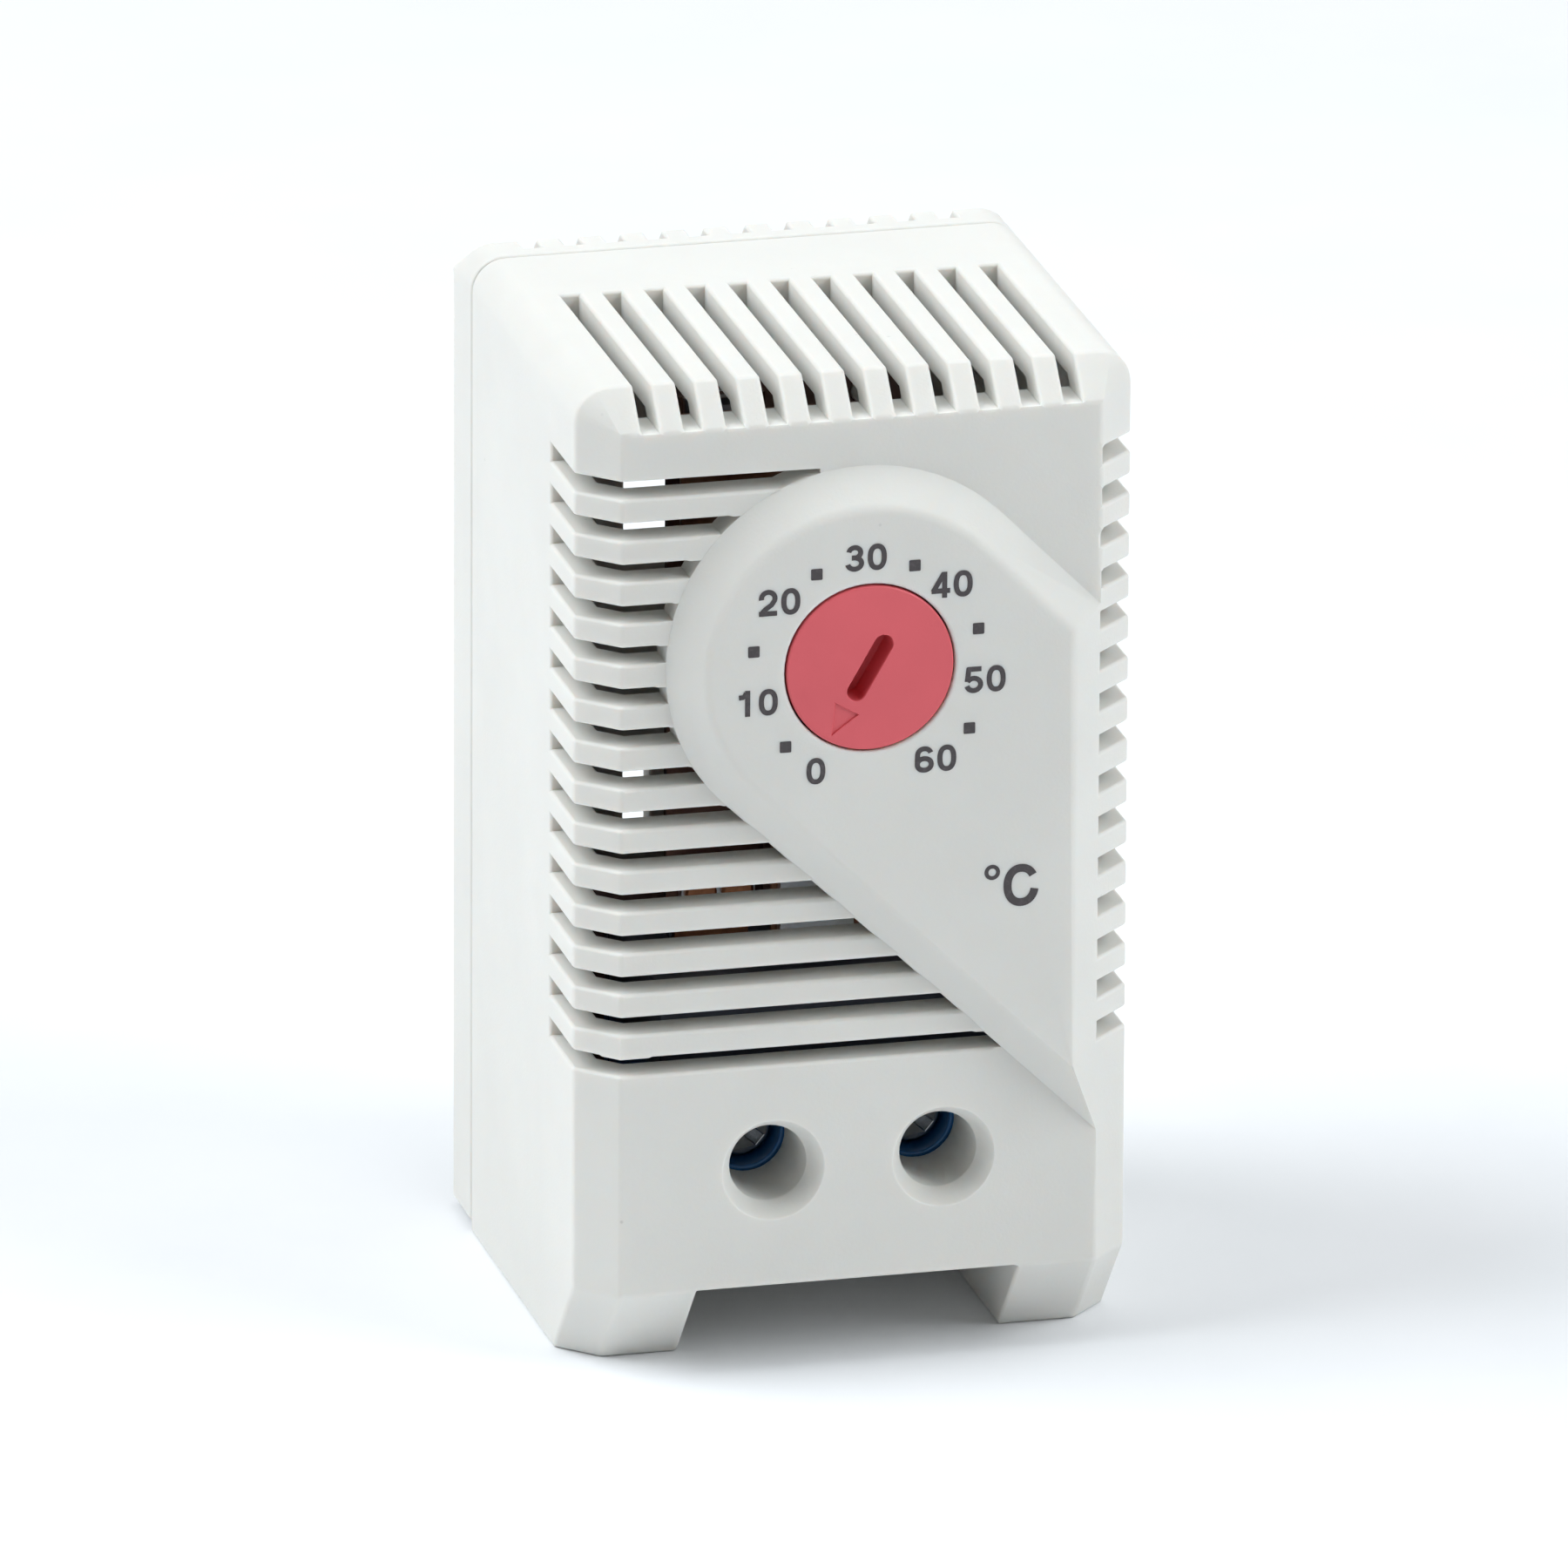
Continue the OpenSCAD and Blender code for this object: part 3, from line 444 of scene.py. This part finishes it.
def cad_copy(node):
    """A bmesh of a CAD node with whole flat faces, and these marked FLAT."""
    bm = bmesh.new()
    bm.from_mesh(frame["nodes"][node].data)
    bmesh.ops.remove_doubles(bm, verts=bm.verts, dist=MERGE)
    dissolve_flat(bm)
    for face in bm.faces:
        turns = [math.degrees(edge.calc_face_angle(math.pi)) for edge in face.edges]
        is_round = any(SQUARE_ANGLE < turn < SHARP_ANGLE for turn in turns)
        face.material_index = ROUND if is_round else FLAT
    return bm


def is_outer(edge):
    """True for an edge that stands out and isn't part of a round surface."""
    return (len(edge.link_faces) == 2 and edge.is_convex
            and edge.calc_face_angle() > math.radians(SHARP_ANGLE))


def spoilt_places(bm, surface, reach):
    """Places where a rounded mesh left the surface outwards or too far, or has a bad face."""
    places = []
    for vert in bm.verts:
        near, normal, _, distance = surface.find_nearest(vert.co)
        if distance > reach or (distance > PROUD and (vert.co - near).dot(normal) > 0):
            places.append(vert.co.copy())
    for face in bm.faces:
        centre = face.calc_center_median()
        if len(face.verts) > 4:
            bend, place = max((abs((vert.co - centre).dot(face.normal)), tuple(vert.co))
                              for vert in face.verts)
            if bend > BENT:
                places.append(Vector(place))
        elif face.calc_area() > PROUD * PROUD:
            if face.normal.dot(surface.find_nearest(centre)[1]) < TURNED_OVER:
                places.append(centre)
    return places


def sound_part(edge, places, near):
    """A list of the edge, cut short where a place lies nearer than near.

    It is empty if too little is left.
    """
    start, end = (vert.co.copy() for vert in edge.verts)
    length = edge.calc_length()
    low, high = 0, 1
    for place in places:
        share = min(1, max(0, intersect_point_line(place, start, end)[1]))
        if (place - start.lerp(end, share)).length < near:
            if share < 0.5:
                low = max(low, share + near / length)
            else:
                high = min(high, share - near / length)
    if (high - low) * length < 2 * near:
        return [] if low > 0 or high < 1 else [edge]
    if low > 0:
        bmesh.utils.edge_split(edge, edge.verts[0], low)
    if high < 1:
        bmesh.utils.edge_split(edge, edge.verts[1], (1 - high) / (1 - low))
    return [edge]


def round_edges(bm, surface, choose, radius):
    """Rounds the chosen edges, but not where that would spoil the surface."""
    chosen = [edge for edge in bm.edges if choose(edge)]
    for attempt in range(ROUND_TRIES):
        bm.edges.index_update()
        trial = bm.copy()
        trial.edges.ensure_lookup_table()
        bmesh.ops.bevel(trial, geom=[trial.edges[edge.index] for edge in chosen], offset=radius,
                        offset_type="OFFSET", segments=ROUND_SEGMENTS, profile=ROUND_PROFILE,
                        affect="EDGES", clamp_overlap=False, miter_outer="ARC", material=ROUND)
        places = spoilt_places(trial, surface, ROUND_SINK * radius)
        if not places:
            break
        near = radius * (ROUND_STOP + ROUND_STOP_STEP * attempt)
        chosen = [part for edge in chosen for part in sound_part(edge, places, near)]
    bm.free()
    return trial


def rounded(node, body, material, passes):
    """Stands for a CAD node with outer edges rounded. passes is a list of (choose, radius)."""
    bm = cad_copy(node)
    surface = BVHTree.FromBMesh(bm)
    for choose, radius in passes:
        bm = round_edges(bm, surface, choose, radius)
    even = [face for face in bm.faces
            if len(face.verts) > 4 and max(map(abs, squared(face.normal))) == 1]
    bmesh.ops.triangulate(bm, faces=even, ngon_method="BEAUTY")
    normals = settled_normals(bm)
    parted = parted_edges(bm, normals)
    for face in bm.faces:
        face.material_index = 0
    made = add_object(node + "_finish", bm, material)
    for index in parted:
        made.data.edges[index].use_edge_sharp = True
    made.data.normals_split_custom_set(normals)
    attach(made, body)
    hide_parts(node)


def middle_of(edge):
    return (edge.verts[0].co + edge.verts[1].co) / 2


def reach_from(edge, centre):
    """Distance of an edge's middle from an axis along Y through centre."""
    middle = middle_of(edge)
    return math.hypot(middle.x - centre.x, middle.z - centre.z)


def on_plateau_rim(edge):
    """The rim between the dial plate's flat top and its bevel."""
    return (is_outer(edge) and abs(middle_of(edge).y - plateau_y) < MERGE
            and edge.calc_face_angle() < math.radians(RIM_ANGLE))


def on_dial_rim(edge):
    return is_outer(edge) and reach_from(edge, dial_centre) > dial_r * DIAL_RIM_SHARE


def on_dial_face(edge):
    """The edges of the slot and of the sunk pointer."""
    return is_outer(edge) and reach_from(edge, dial_centre) < dial_r * DIAL_FACE_SHARE


def on_screw_hole(edge):
    return is_outer(edge) and any(reach_from(edge, hole) < HOLE_REACH for hole in screw_holes)


def off_screw_hole(edge):
    return is_outer(edge) and not on_screw_hole(edge)


rounded("front_housing", "case", shell_plastic,
        [(on_plateau_rim, 0.4 * MM), (on_screw_hole, 0.06 * MM), (off_screw_hole, 0.22 * MM)])
rounded("rear_cover", "case", cover_plastic, [(is_outer, 0.2 * MM)])
rounded("terminal_block", "case", blue_plastic, [(is_outer, 0.15 * MM)])
rounded("terminal_block_cover", "case", blue_plastic, [(is_outer, 0.12 * MM)])
rounded("contact_base", "case", brown_plastic, [(is_outer, 0.12 * MM)])
rounded("rail_clip", "clip", clip_plastic, [(is_outer, 0.2 * MM)])
rounded("dial", "dial", red_plastic, [(on_dial_rim, 0.13 * MM), (on_dial_face, 0.05 * MM)])


# Printed scale

# Places from the dial's centre in millimetres, across and up
LABEL_PLACES = {0: (-3.2, -6.0), 10: (-6.7, -1.6), 20: (-5.4, 4.4), 30: (-0.3, 6.7),
                40: (4.8, 4.7), 50: (6.8, -1.2), 60: (3.9, -5.8)}
TICK_PLACES = [(-5.0, -4.4), (-6.9, 1.5), (-3.2, 5.9), (2.6, 6.0), (6.4, 1.9), (5.9, -4.1)]
UNIT_PLACE = (9.05, -13.9)
DEGREE_PLACE = (7.32, -13.0)

LABEL_H = 1.57 * MM
UNIT_H = 2.5 * MM
TICK_SIZE = 0.68 * MM
TICK_CORNER_SHARE = 0.1
TICK_CORNER_SEGMENTS = 3
DEGREE_OUTER = 0.465 * MM
DEGREE_INNER = 0.23 * MM
DEGREE_SIDES = 32

# How far the print stands out, and how much further each next stroke of a figure does
PRINT_PROUD = 0.012 * MM
STROKE_STEP = 0.002 * MM

# Shares of a figure's height
CELL_SHARE = 0.85
STROKE_SHARE = 0.192
SAME_POINT_SHARE = STROKE_SHARE / 100


def arc(centre, reach, start, end, round_share=1.0, steps=20):
    """Points of an oval arc, degrees against the clock from the right.

    A low round_share squares it.
    """
    points = []
    for i in range(steps + 1):
        angle = math.radians(start + (end - start) * i / steps)
        across, up = (math.copysign(abs(value) ** round_share, value)
                      for value in (math.cos(angle), math.sin(angle)))
        points.append((centre[0] + reach[0] * across, centre[1] + reach[1] * up))
    return points


# Centre lines of the figures, one unit high, from the middle of the foot of each figure's cell
FIGURES = {
    "0": [arc((0, 0.5), (0.262, 0.413), 0, 360, 0.86, 40)],
    "1": [[(0.07, 0), (0.07, 1)],
          [(-0.26, 0.745), (-0.1, 0.755), (-0.02, 0.83), (0.02, 0.92)]],
    "2": [arc((0, 0.67), (0.255, 0.243), 192, -22)
          + [(0.13, 0.42), (-0.1, 0.26), (-0.21, 0.15), (-0.25, 0.06)],
          [(-0.345, 0.087), (0.335, 0.087)]],
    "3": [arc((0, 0.715), (0.225, 0.198), 172, -82), arc((0, 0.302), (0.26, 0.215), 78, -172),
          [(-0.11, 0.522), (0.05, 0.522)]],
    "4": [[(0.15, 0), (0.15, 1)], [(-0.34, 0.272), (0.36, 0.272)],
          [(-0.285, 0.25), (0.12, 0.94)]],
    "5": [[(-0.25, 0.915), (0.29, 0.915)], [(-0.18, 0.98), (-0.245, 0.44)],
          arc((0, 0.325), (0.262, 0.238), 152, -168)],
    "6": [arc((0, 0.655), (0.255, 0.258), 20, 180, 0.92) + [(-0.262, 0.5), (-0.262, 0.3)],
          arc((0, 0.31), (0.262, 0.223), 0, 360, 0.95, 32)],
    "C": [arc((0, 0.5), (0.325, 0.417), 32, 347, 0.92, 40)],
}


def stroke_edges(points):
    """Both edges of a stroke along points."""
    closed = math.dist(points[0], points[-1]) < SAME_POINT_SHARE
    edges = []
    for i, (x, z) in enumerate(points):
        before = points[i - 1] if i > 0 else points[-2] if closed else points[i]
        after = points[i + 1] if i + 1 < len(points) else points[1] if closed else points[i]
        ahead = Vector((after[0] - before[0], after[1] - before[1])).normalized()
        along = ahead * STROKE_SHARE / 2
        edges.append(((x - along.y, z + along.x), (x + along.y, z - along.x)))
    return edges


def on_plate(place):
    """Across and up in the frame, for a place from the dial's centre in millimetres."""
    return dial_centre.x + place[0] * MM, dial_centre.z + place[1] * MM


def add_print(name, bm):
    made = add_object(name, bm, print_ink)
    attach(made, "case")


def print_figures(name, word, height, place):
    """Ink figures on the dial plate, with their middle at place."""
    bm = bmesh.new()
    across, up = on_plate(place)
    foot = up - height / 2
    layer = 0
    for k, figure in enumerate(word):
        start = across + (k - (len(word) - 1) / 2) * CELL_SHARE * height
        for stroke in FIGURES[figure]:
            front = plateau_y - PRINT_PROUD - layer * STROKE_STEP
            rings = []
            for left, right in stroke_edges(stroke):
                corners = (left, front), (right, front), (right, plateau_y), (left, plateau_y)
                rings.append([bm.verts.new((start + x * height, y, foot + z * height))
                              for (x, z), y in corners])
            join_rings(bm, rings)
            layer += 1
    add_print(name, bm)


def print_square(name, place):
    """A square with rounded corners."""
    bm = bmesh.new()
    bmesh.ops.create_cube(bm, size=1)
    bmesh.ops.scale(bm, vec=(TICK_SIZE, 2 * PRINT_PROUD, TICK_SIZE), verts=bm.verts)
    upright = [e for e in bm.edges if abs(e.verts[0].co.y - e.verts[1].co.y) > PRINT_PROUD]
    bmesh.ops.bevel(bm, geom=upright, offset=TICK_SIZE * TICK_CORNER_SHARE,
                    segments=TICK_CORNER_SEGMENTS, profile=ROUND_PROFILE, affect="EDGES")
    across, up = on_plate(place)
    bmesh.ops.translate(bm, vec=(across, plateau_y, up), verts=bm.verts)
    add_print(name, bm)


def print_degree(name, place):
    """A flat ring."""
    bm = bmesh.new()
    across, up = on_plate(place)
    corners = (DEGREE_INNER, -1), (DEGREE_OUTER, -1), (DEGREE_OUTER, 1), (DEGREE_INNER, 1)
    rings = []
    for i in range(DEGREE_SIDES):
        turn = 2 * math.pi * i / DEGREE_SIDES
        rings.append([bm.verts.new((across + radius * math.sin(turn),
                                    plateau_y + side * PRINT_PROUD,
                                    up + radius * math.cos(turn)))
                      for radius, side in corners])
    join_rings(bm, rings, closed=True)
    add_print(name, bm)


for value, place in LABEL_PLACES.items():
    print_figures(f"scale_{value}", str(value), LABEL_H, place)
for i, place in enumerate(TICK_PLACES):
    print_square(f"tick_{i}", place)
print_figures("unit_letter", "C", UNIT_H, UNIT_PLACE)
print_degree("unit_degree", DEGREE_PLACE)


# Clamp screws with a cross recess and a cut thread

HEAD_T = 1.6 * MM
HEAD_SIDES = 48
HEAD_ROUND = 0.22 * MM
HEAD_ROUND_STEPS = 6
HEAD_REAR_BEVEL = 0.1 * MM
HEAD_LEDGE = 0.4 * MM

RECESS_T = 1.0 * MM
RECESS_REACH_SHARE = 0.8
RECESS_HALF = 0.35 * MM
RECESS_TURN = 40
RECESS_EASE = 0.06 * MM
RECESS_EASE_SEGMENTS = 2

THREAD_PITCH = 0.5 * MM
THREAD_DEEP = 0.28 * MM
THREAD_SIDES = 36
THREAD_ROWS = 10
THREAD_ANGLE = 50

# Height of the thread as a share of its depth: at the head, in the middle of a crest (cut off at
# 1), and by how much it falls over one pitch
THREAD_AT_HEAD = 0.2
THREAD_CREST = 1.3
THREAD_FALL = 2.6


def ring_of(bm, centre, y, radii):
    """Vertices round centre at the depth y, one for each radius."""
    ring = []
    for i, radius in enumerate(radii):
        turn = 2 * math.pi * i / len(radii)
        ring.append(bm.verts.new((centre.x + radius * math.sin(turn), y,
                                  centre.z + radius * math.cos(turn))))
    return ring


def box_mesh(low, high):
    bm = bmesh.new()
    bmesh.ops.create_cube(bm, size=1)
    bmesh.ops.scale(bm, vec=[high[i] - low[i] for i in range(3)], verts=bm.verts)
    bmesh.ops.translate(bm, vec=[(high[i] + low[i]) / 2 for i in range(3)], verts=bm.verts)
    return bm


def cut(made, cutter):
    """Takes cutter out of made, and removes cutter."""
    modifier = made.modifiers.new("cut", "BOOLEAN")
    modifier.operation = "DIFFERENCE"
    modifier.solver = "EXACT"
    modifier.object = cutter
    graph = bpy.context.evaluated_depsgraph_get()
    mesh = bpy.data.meshes.new_from_object(made.evaluated_get(graph))
    made.modifiers.clear()
    made.data = mesh
    bpy.data.objects.remove(cutter)
    finish_shading(mesh)


def ease_recess(head, front, reach):
    """Breaks the edges of the recess in a head's front face, nearer than reach to its middle."""
    bm = bmesh.new()
    bm.from_mesh(head.data)
    dissolve_flat(bm)
    middle = sum((vert.co for vert in bm.verts), Vector()) / len(bm.verts)
    edges = [edge for edge in bm.edges
             if reach_from(edge, middle) < reach and is_outer(edge)
             and abs(middle_of(edge).y - front) < MERGE]
    bmesh.ops.bevel(bm, geom=edges, offset=RECESS_EASE, segments=RECESS_EASE_SEGMENTS,
                    profile=ROUND_PROFILE, affect="EDGES")
    bm.to_mesh(head.data)
    bm.free()
    finish_shading(head.data)


def screw_head(name, centre, front, head_r, shank_r):
    """A head with a rounded front edge, a bevelled rear edge and a cross recess."""
    rear = front + HEAD_T
    profile = []
    for k in range(HEAD_ROUND_STEPS + 1):
        turn = math.radians(90 * k / HEAD_ROUND_STEPS)
        profile.append((front + HEAD_ROUND * (1 - math.cos(turn)),
                        head_r - HEAD_ROUND * (1 - math.sin(turn))))
    profile += [(rear - HEAD_REAR_BEVEL, head_r), (rear, head_r - HEAD_REAR_BEVEL),
                (rear, shank_r - THREAD_DEEP)]
    bm = bmesh.new()
    join_rings(bm, [ring_of(bm, centre, y, [radius] * HEAD_SIDES) for y, radius in profile])
    head = add_object(name, bm, bright_steel)
    reach = head_r * RECESS_REACH_SHARE
    turned = Matrix.Rotation(math.radians(RECESS_TURN), 3, "Y")
    for half_x, half_z in ((reach, RECESS_HALF), (RECESS_HALF, reach)):
        bm = box_mesh((centre.x - half_x, front - MM, centre.z - half_z),
                      (centre.x + half_x, front + RECESS_T, centre.z + half_z))
        bmesh.ops.rotate(bm, cent=centre, matrix=turned, verts=bm.verts)
        cut(head, add_object("cutter", bm, bright_steel))
    ease_recess(head, front, head_r - HEAD_ROUND)
    return head


def screw_thread(name, centre, start, end, shank_r):
    """A cut thread that fades out at both ends."""
    bm = bmesh.new()
    rings = []
    for row in range(int((end - start) / THREAD_PITCH * THREAD_ROWS) + 1):
        y = start + row * THREAD_PITCH / THREAD_ROWS
        fade = min(1, (end - y) / THREAD_PITCH, (y - start) / THREAD_PITCH + THREAD_AT_HEAD)
        radii = []
        for i in range(THREAD_SIDES):
            wave = (row / THREAD_ROWS - i / THREAD_SIDES) % 1
            crest = min(1, max(0, THREAD_CREST - THREAD_FALL * abs(wave - 0.5)))
            radii.append(shank_r - THREAD_DEEP * (1 - crest * fade))
        rings.append(ring_of(bm, centre, y, radii))
    join_rings(bm, rings)
    return add_object(name, bm, bright_steel, THREAD_ANGLE)


def clamp_screw(side):
    """Stands for a CAD clamp screw, whose shank is plain."""
    node = "clamp_screw_" + side
    low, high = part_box(node)
    centre = (low + high) / 2
    head_r = (high.x - low.x) / 2
    shank_r = head_r - HEAD_LEDGE
    head = screw_head(node + "_head", centre, low.y, head_r, shank_r)
    thread = screw_thread(node + "_thread", centre, low.y + HEAD_T, high.y, shank_r)
    for piece in (head, thread):
        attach(piece, "screw_" + side)
    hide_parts(node)


for side in SIDES:
    clamp_screw(side)


# The rail clip's spring, wound fine

SPRING_WIRE_R = 0.2 * MM
SPRING_TURNS = 4
SPRING_RINGS = 28
SPRING_SIDES = 12
SPRING_ANGLE = 60


def clip_spring():
    """Stands for the CAD spring."""
    low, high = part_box("clip_spring")
    coil_r = (high.x - low.x) / 2 - SPRING_WIRE_R
    centre = (low + high) / 2
    length = high.z - low.z - 2 * SPRING_WIRE_R
    bm = bmesh.new()
    rings = []
    count = SPRING_TURNS * SPRING_RINGS
    for i in range(count + 1):
        turn = 2 * math.pi * i / SPRING_RINGS
        z = low.z + SPRING_WIRE_R + length * i / count
        ring = []
        for k in range(SPRING_SIDES):
            side = 2 * math.pi * k / SPRING_SIDES
            radius = coil_r + SPRING_WIRE_R * math.cos(side)
            ring.append(bm.verts.new((centre.x + radius * math.cos(turn),
                                      centre.y + radius * math.sin(turn),
                                      z + SPRING_WIRE_R * math.sin(side))))
        rings.append(ring)
    join_rings(bm, rings)
    made = add_object("clip_spring_coil", bm, spring_steel, SPRING_ANGLE)
    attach(made, "case")
    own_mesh(made)
    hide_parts("clip_spring")


clip_spring()

# Inner pieces keep their CAD shape
for node, material in {
    "dial_washer": zinc, "dial_clip": spring_steel, "set_cam": brass, "push_stud": ceramic,
    "contact_spring": bronze, "fixed_contact": silver, "magnet": ferrite,
    "bimetal_strip": bimetal, "moving_contact": silver, "armature": zinc,
    "bimetal_clamp": zinc, "bimetal_rivets": copper, "spring_clamp": zinc,
    "spring_rivets": copper, "terminal_bar_left": copper, "terminal_bar_right": copper,
    "clamp_cage_left": zinc, "clamp_cage_right": zinc,
}.items():
    for slot in frame["nodes"][node].material_slots:
        slot.material = material


# Floor, lights and camera

FLOOR_HALF = 3.0
PAPER_COLOURS = (srgb(240, 242, 244), srgb(244, 245, 247))
PAPER_ROUGH = 0.9
PAPER_LEVEL = 0.1

# Distances from the origin where the floor starts to fade to white, and where it is white
FLOOR_FADE = (0.16, 0.5)

WORLD_STRENGTH = 0.12
WORLD_COLOUR = (1.0, 0.95, 0.9, 1)

LAMP_COLOUR = (0.92, 0.965, 1.0)

# Each lamp's place, size in metres and power in watts
LAMPS = {
    "top_lamp": ((0.0, 0.05, 0.85), 0.6, 1.7),
    "left_lamp": ((-0.6, 0.1, 0.65), 0.8, 7.6),
    "right_lamp": ((0.6, 0.05, 0.65), 0.8, 1.6),
    "front_lamp": ((0.55, -0.42, 0.5), 0.5, 3.7),
}

# Camera: place, turn to the right, tilt down, roll and lens of the photograph
CAMERA_PLACE = Vector((-347.33, -1368.12, 512.92)) * MM
CAMERA_TURN = 14.26
CAMERA_TILT = 18.92
CAMERA_ROLL = 0.28
CAMERA_LENS = 587.36
CAMERA_CLIP = (0.05, 20)
SENSOR = 36


def seen_ray(tree):
    """1 for a ray from the camera, also by way of gloss or glass."""
    path = tree.nodes.new("ShaderNodeLightPath")
    seen = path.outputs["Is Camera Ray"]
    for name in ("Is Glossy Ray", "Is Transmission Ray"):
        either = tree.nodes.new("ShaderNodeMath")
        either.operation = "MAXIMUM"
        tree.links.new(seen, either.inputs[0])
        tree.links.new(path.outputs[name], either.inputs[1])
        seen = either.outputs[0]
    return seen


def mix_shaders(tree, share, first, second, output):
    """Sends first and second, mixed by share, to the tree's output node."""
    mixed = tree.nodes.new("ShaderNodeMixShader")
    for source, socket in zip((share, first, second), mixed.inputs):
        tree.links.new(source, socket)
    tree.links.new(mixed.outputs["Shader"], tree.nodes[output].inputs["Surface"])


def stage_floor():
    """A sheet of paper that fades to white away from the object."""
    bm = bmesh.new()
    corners = [(-FLOOR_HALF, -FLOOR_HALF), (FLOOR_HALF, -FLOOR_HALF), (FLOOR_HALF, FLOOR_HALF),
               (-FLOOR_HALF, FLOOR_HALF)]
    bm.faces.new([bm.verts.new((x, y, cad_low.z)) for x, y in corners])
    n = Nodes("floor_paper")
    n.link(n.ramp(n.noise(PAPER_CLOUDS), SPREAD, PAPER_COLOURS), n.shader.inputs["Base Color"])
    n.set(Roughness=PAPER_ROUGH, Specular_IOR_Level=PAPER_LEVEL)
    n.bump([(n.noise(PAPER_GRAIN), *PAPER_BUMP)])
    away = n.add("ShaderNodeVectorMath", operation="LENGTH")
    n.link(n.place, away.inputs[0])
    far = n.mapped(away.outputs["Value"], FLOOR_FADE, interpolation_type="SMOOTHSTEP")
    share = n.add("ShaderNodeMath", operation="MULTIPLY")
    n.link(far, share.inputs[0])
    n.link(seen_ray(n.tree), share.inputs[1])
    white = n.add("ShaderNodeEmission")
    mix_shaders(n.tree, share.outputs[0], n.shader.outputs["BSDF"], white.outputs["Emission"],
                "Material Output")
    add_object("floor", bm, n.material)


def world_light():
    """Soft light from all round, and plain white behind the object."""
    world = bpy.data.worlds.new("studio")
    world.use_nodes = True
    tree = world.node_tree
    soft = tree.nodes["Background"]
    white = tree.nodes.new("ShaderNodeBackground")
    for node, strength, colour in ((soft, WORLD_STRENGTH, WORLD_COLOUR), (white, 1, WHITE)):
        node.inputs["Strength"].default_value = strength
        node.inputs["Color"].default_value = colour
    mix_shaders(tree, seen_ray(tree), soft.outputs[0], white.outputs[0], "World Output")
    bpy.context.scene.world = world


def area_lamp(name, place, size, watts):
    """A round lamp that faces the object's middle."""
    lamp = bpy.data.lights.new(name, "AREA")
    lamp.shape = "DISK"
    lamp.size = size
    lamp.energy = watts
    lamp.color = LAMP_COLOUR
    made = bpy.data.objects.new(name, lamp)
    made.location = place
    ahead = (cad_low + cad_high) / 2 - Vector(place)
    made.rotation_mode = "QUATERNION"
    made.rotation_quaternion = ahead.to_track_quat("-Z", "Y")
    bpy.context.scene.collection.objects.link(made)


def add_camera():
    turn, tilt, roll = (math.radians(a) for a in (CAMERA_TURN, CAMERA_TILT, CAMERA_ROLL))
    ahead = Vector((math.sin(turn) * math.cos(tilt), math.cos(turn) * math.cos(tilt),
                    -math.sin(tilt)))
    right = Vector((math.cos(turn), -math.sin(turn), 0))
    up = right.cross(ahead)
    right, up = (right * math.cos(roll) + up * math.sin(roll),
                 up * math.cos(roll) - right * math.sin(roll))
    camera = bpy.data.cameras.new("camera")
    camera.sensor_width = SENSOR
    camera.lens = CAMERA_LENS
    camera.clip_start, camera.clip_end = CAMERA_CLIP
    made = bpy.data.objects.new("camera", camera)
    rotation = Matrix((right, up, -ahead)).transposed().to_4x4()
    made.matrix_world = Matrix.Translation(CAMERA_PLACE) @ rotation
    bpy.context.scene.collection.objects.link(made)
    bpy.context.scene.camera = made


stage_floor()
world_light()
for name, (place, size, watts) in LAMPS.items():
    area_lamp(name, place, size, watts)
add_camera()
bpy.context.scene.view_settings.view_transform = "Standard"
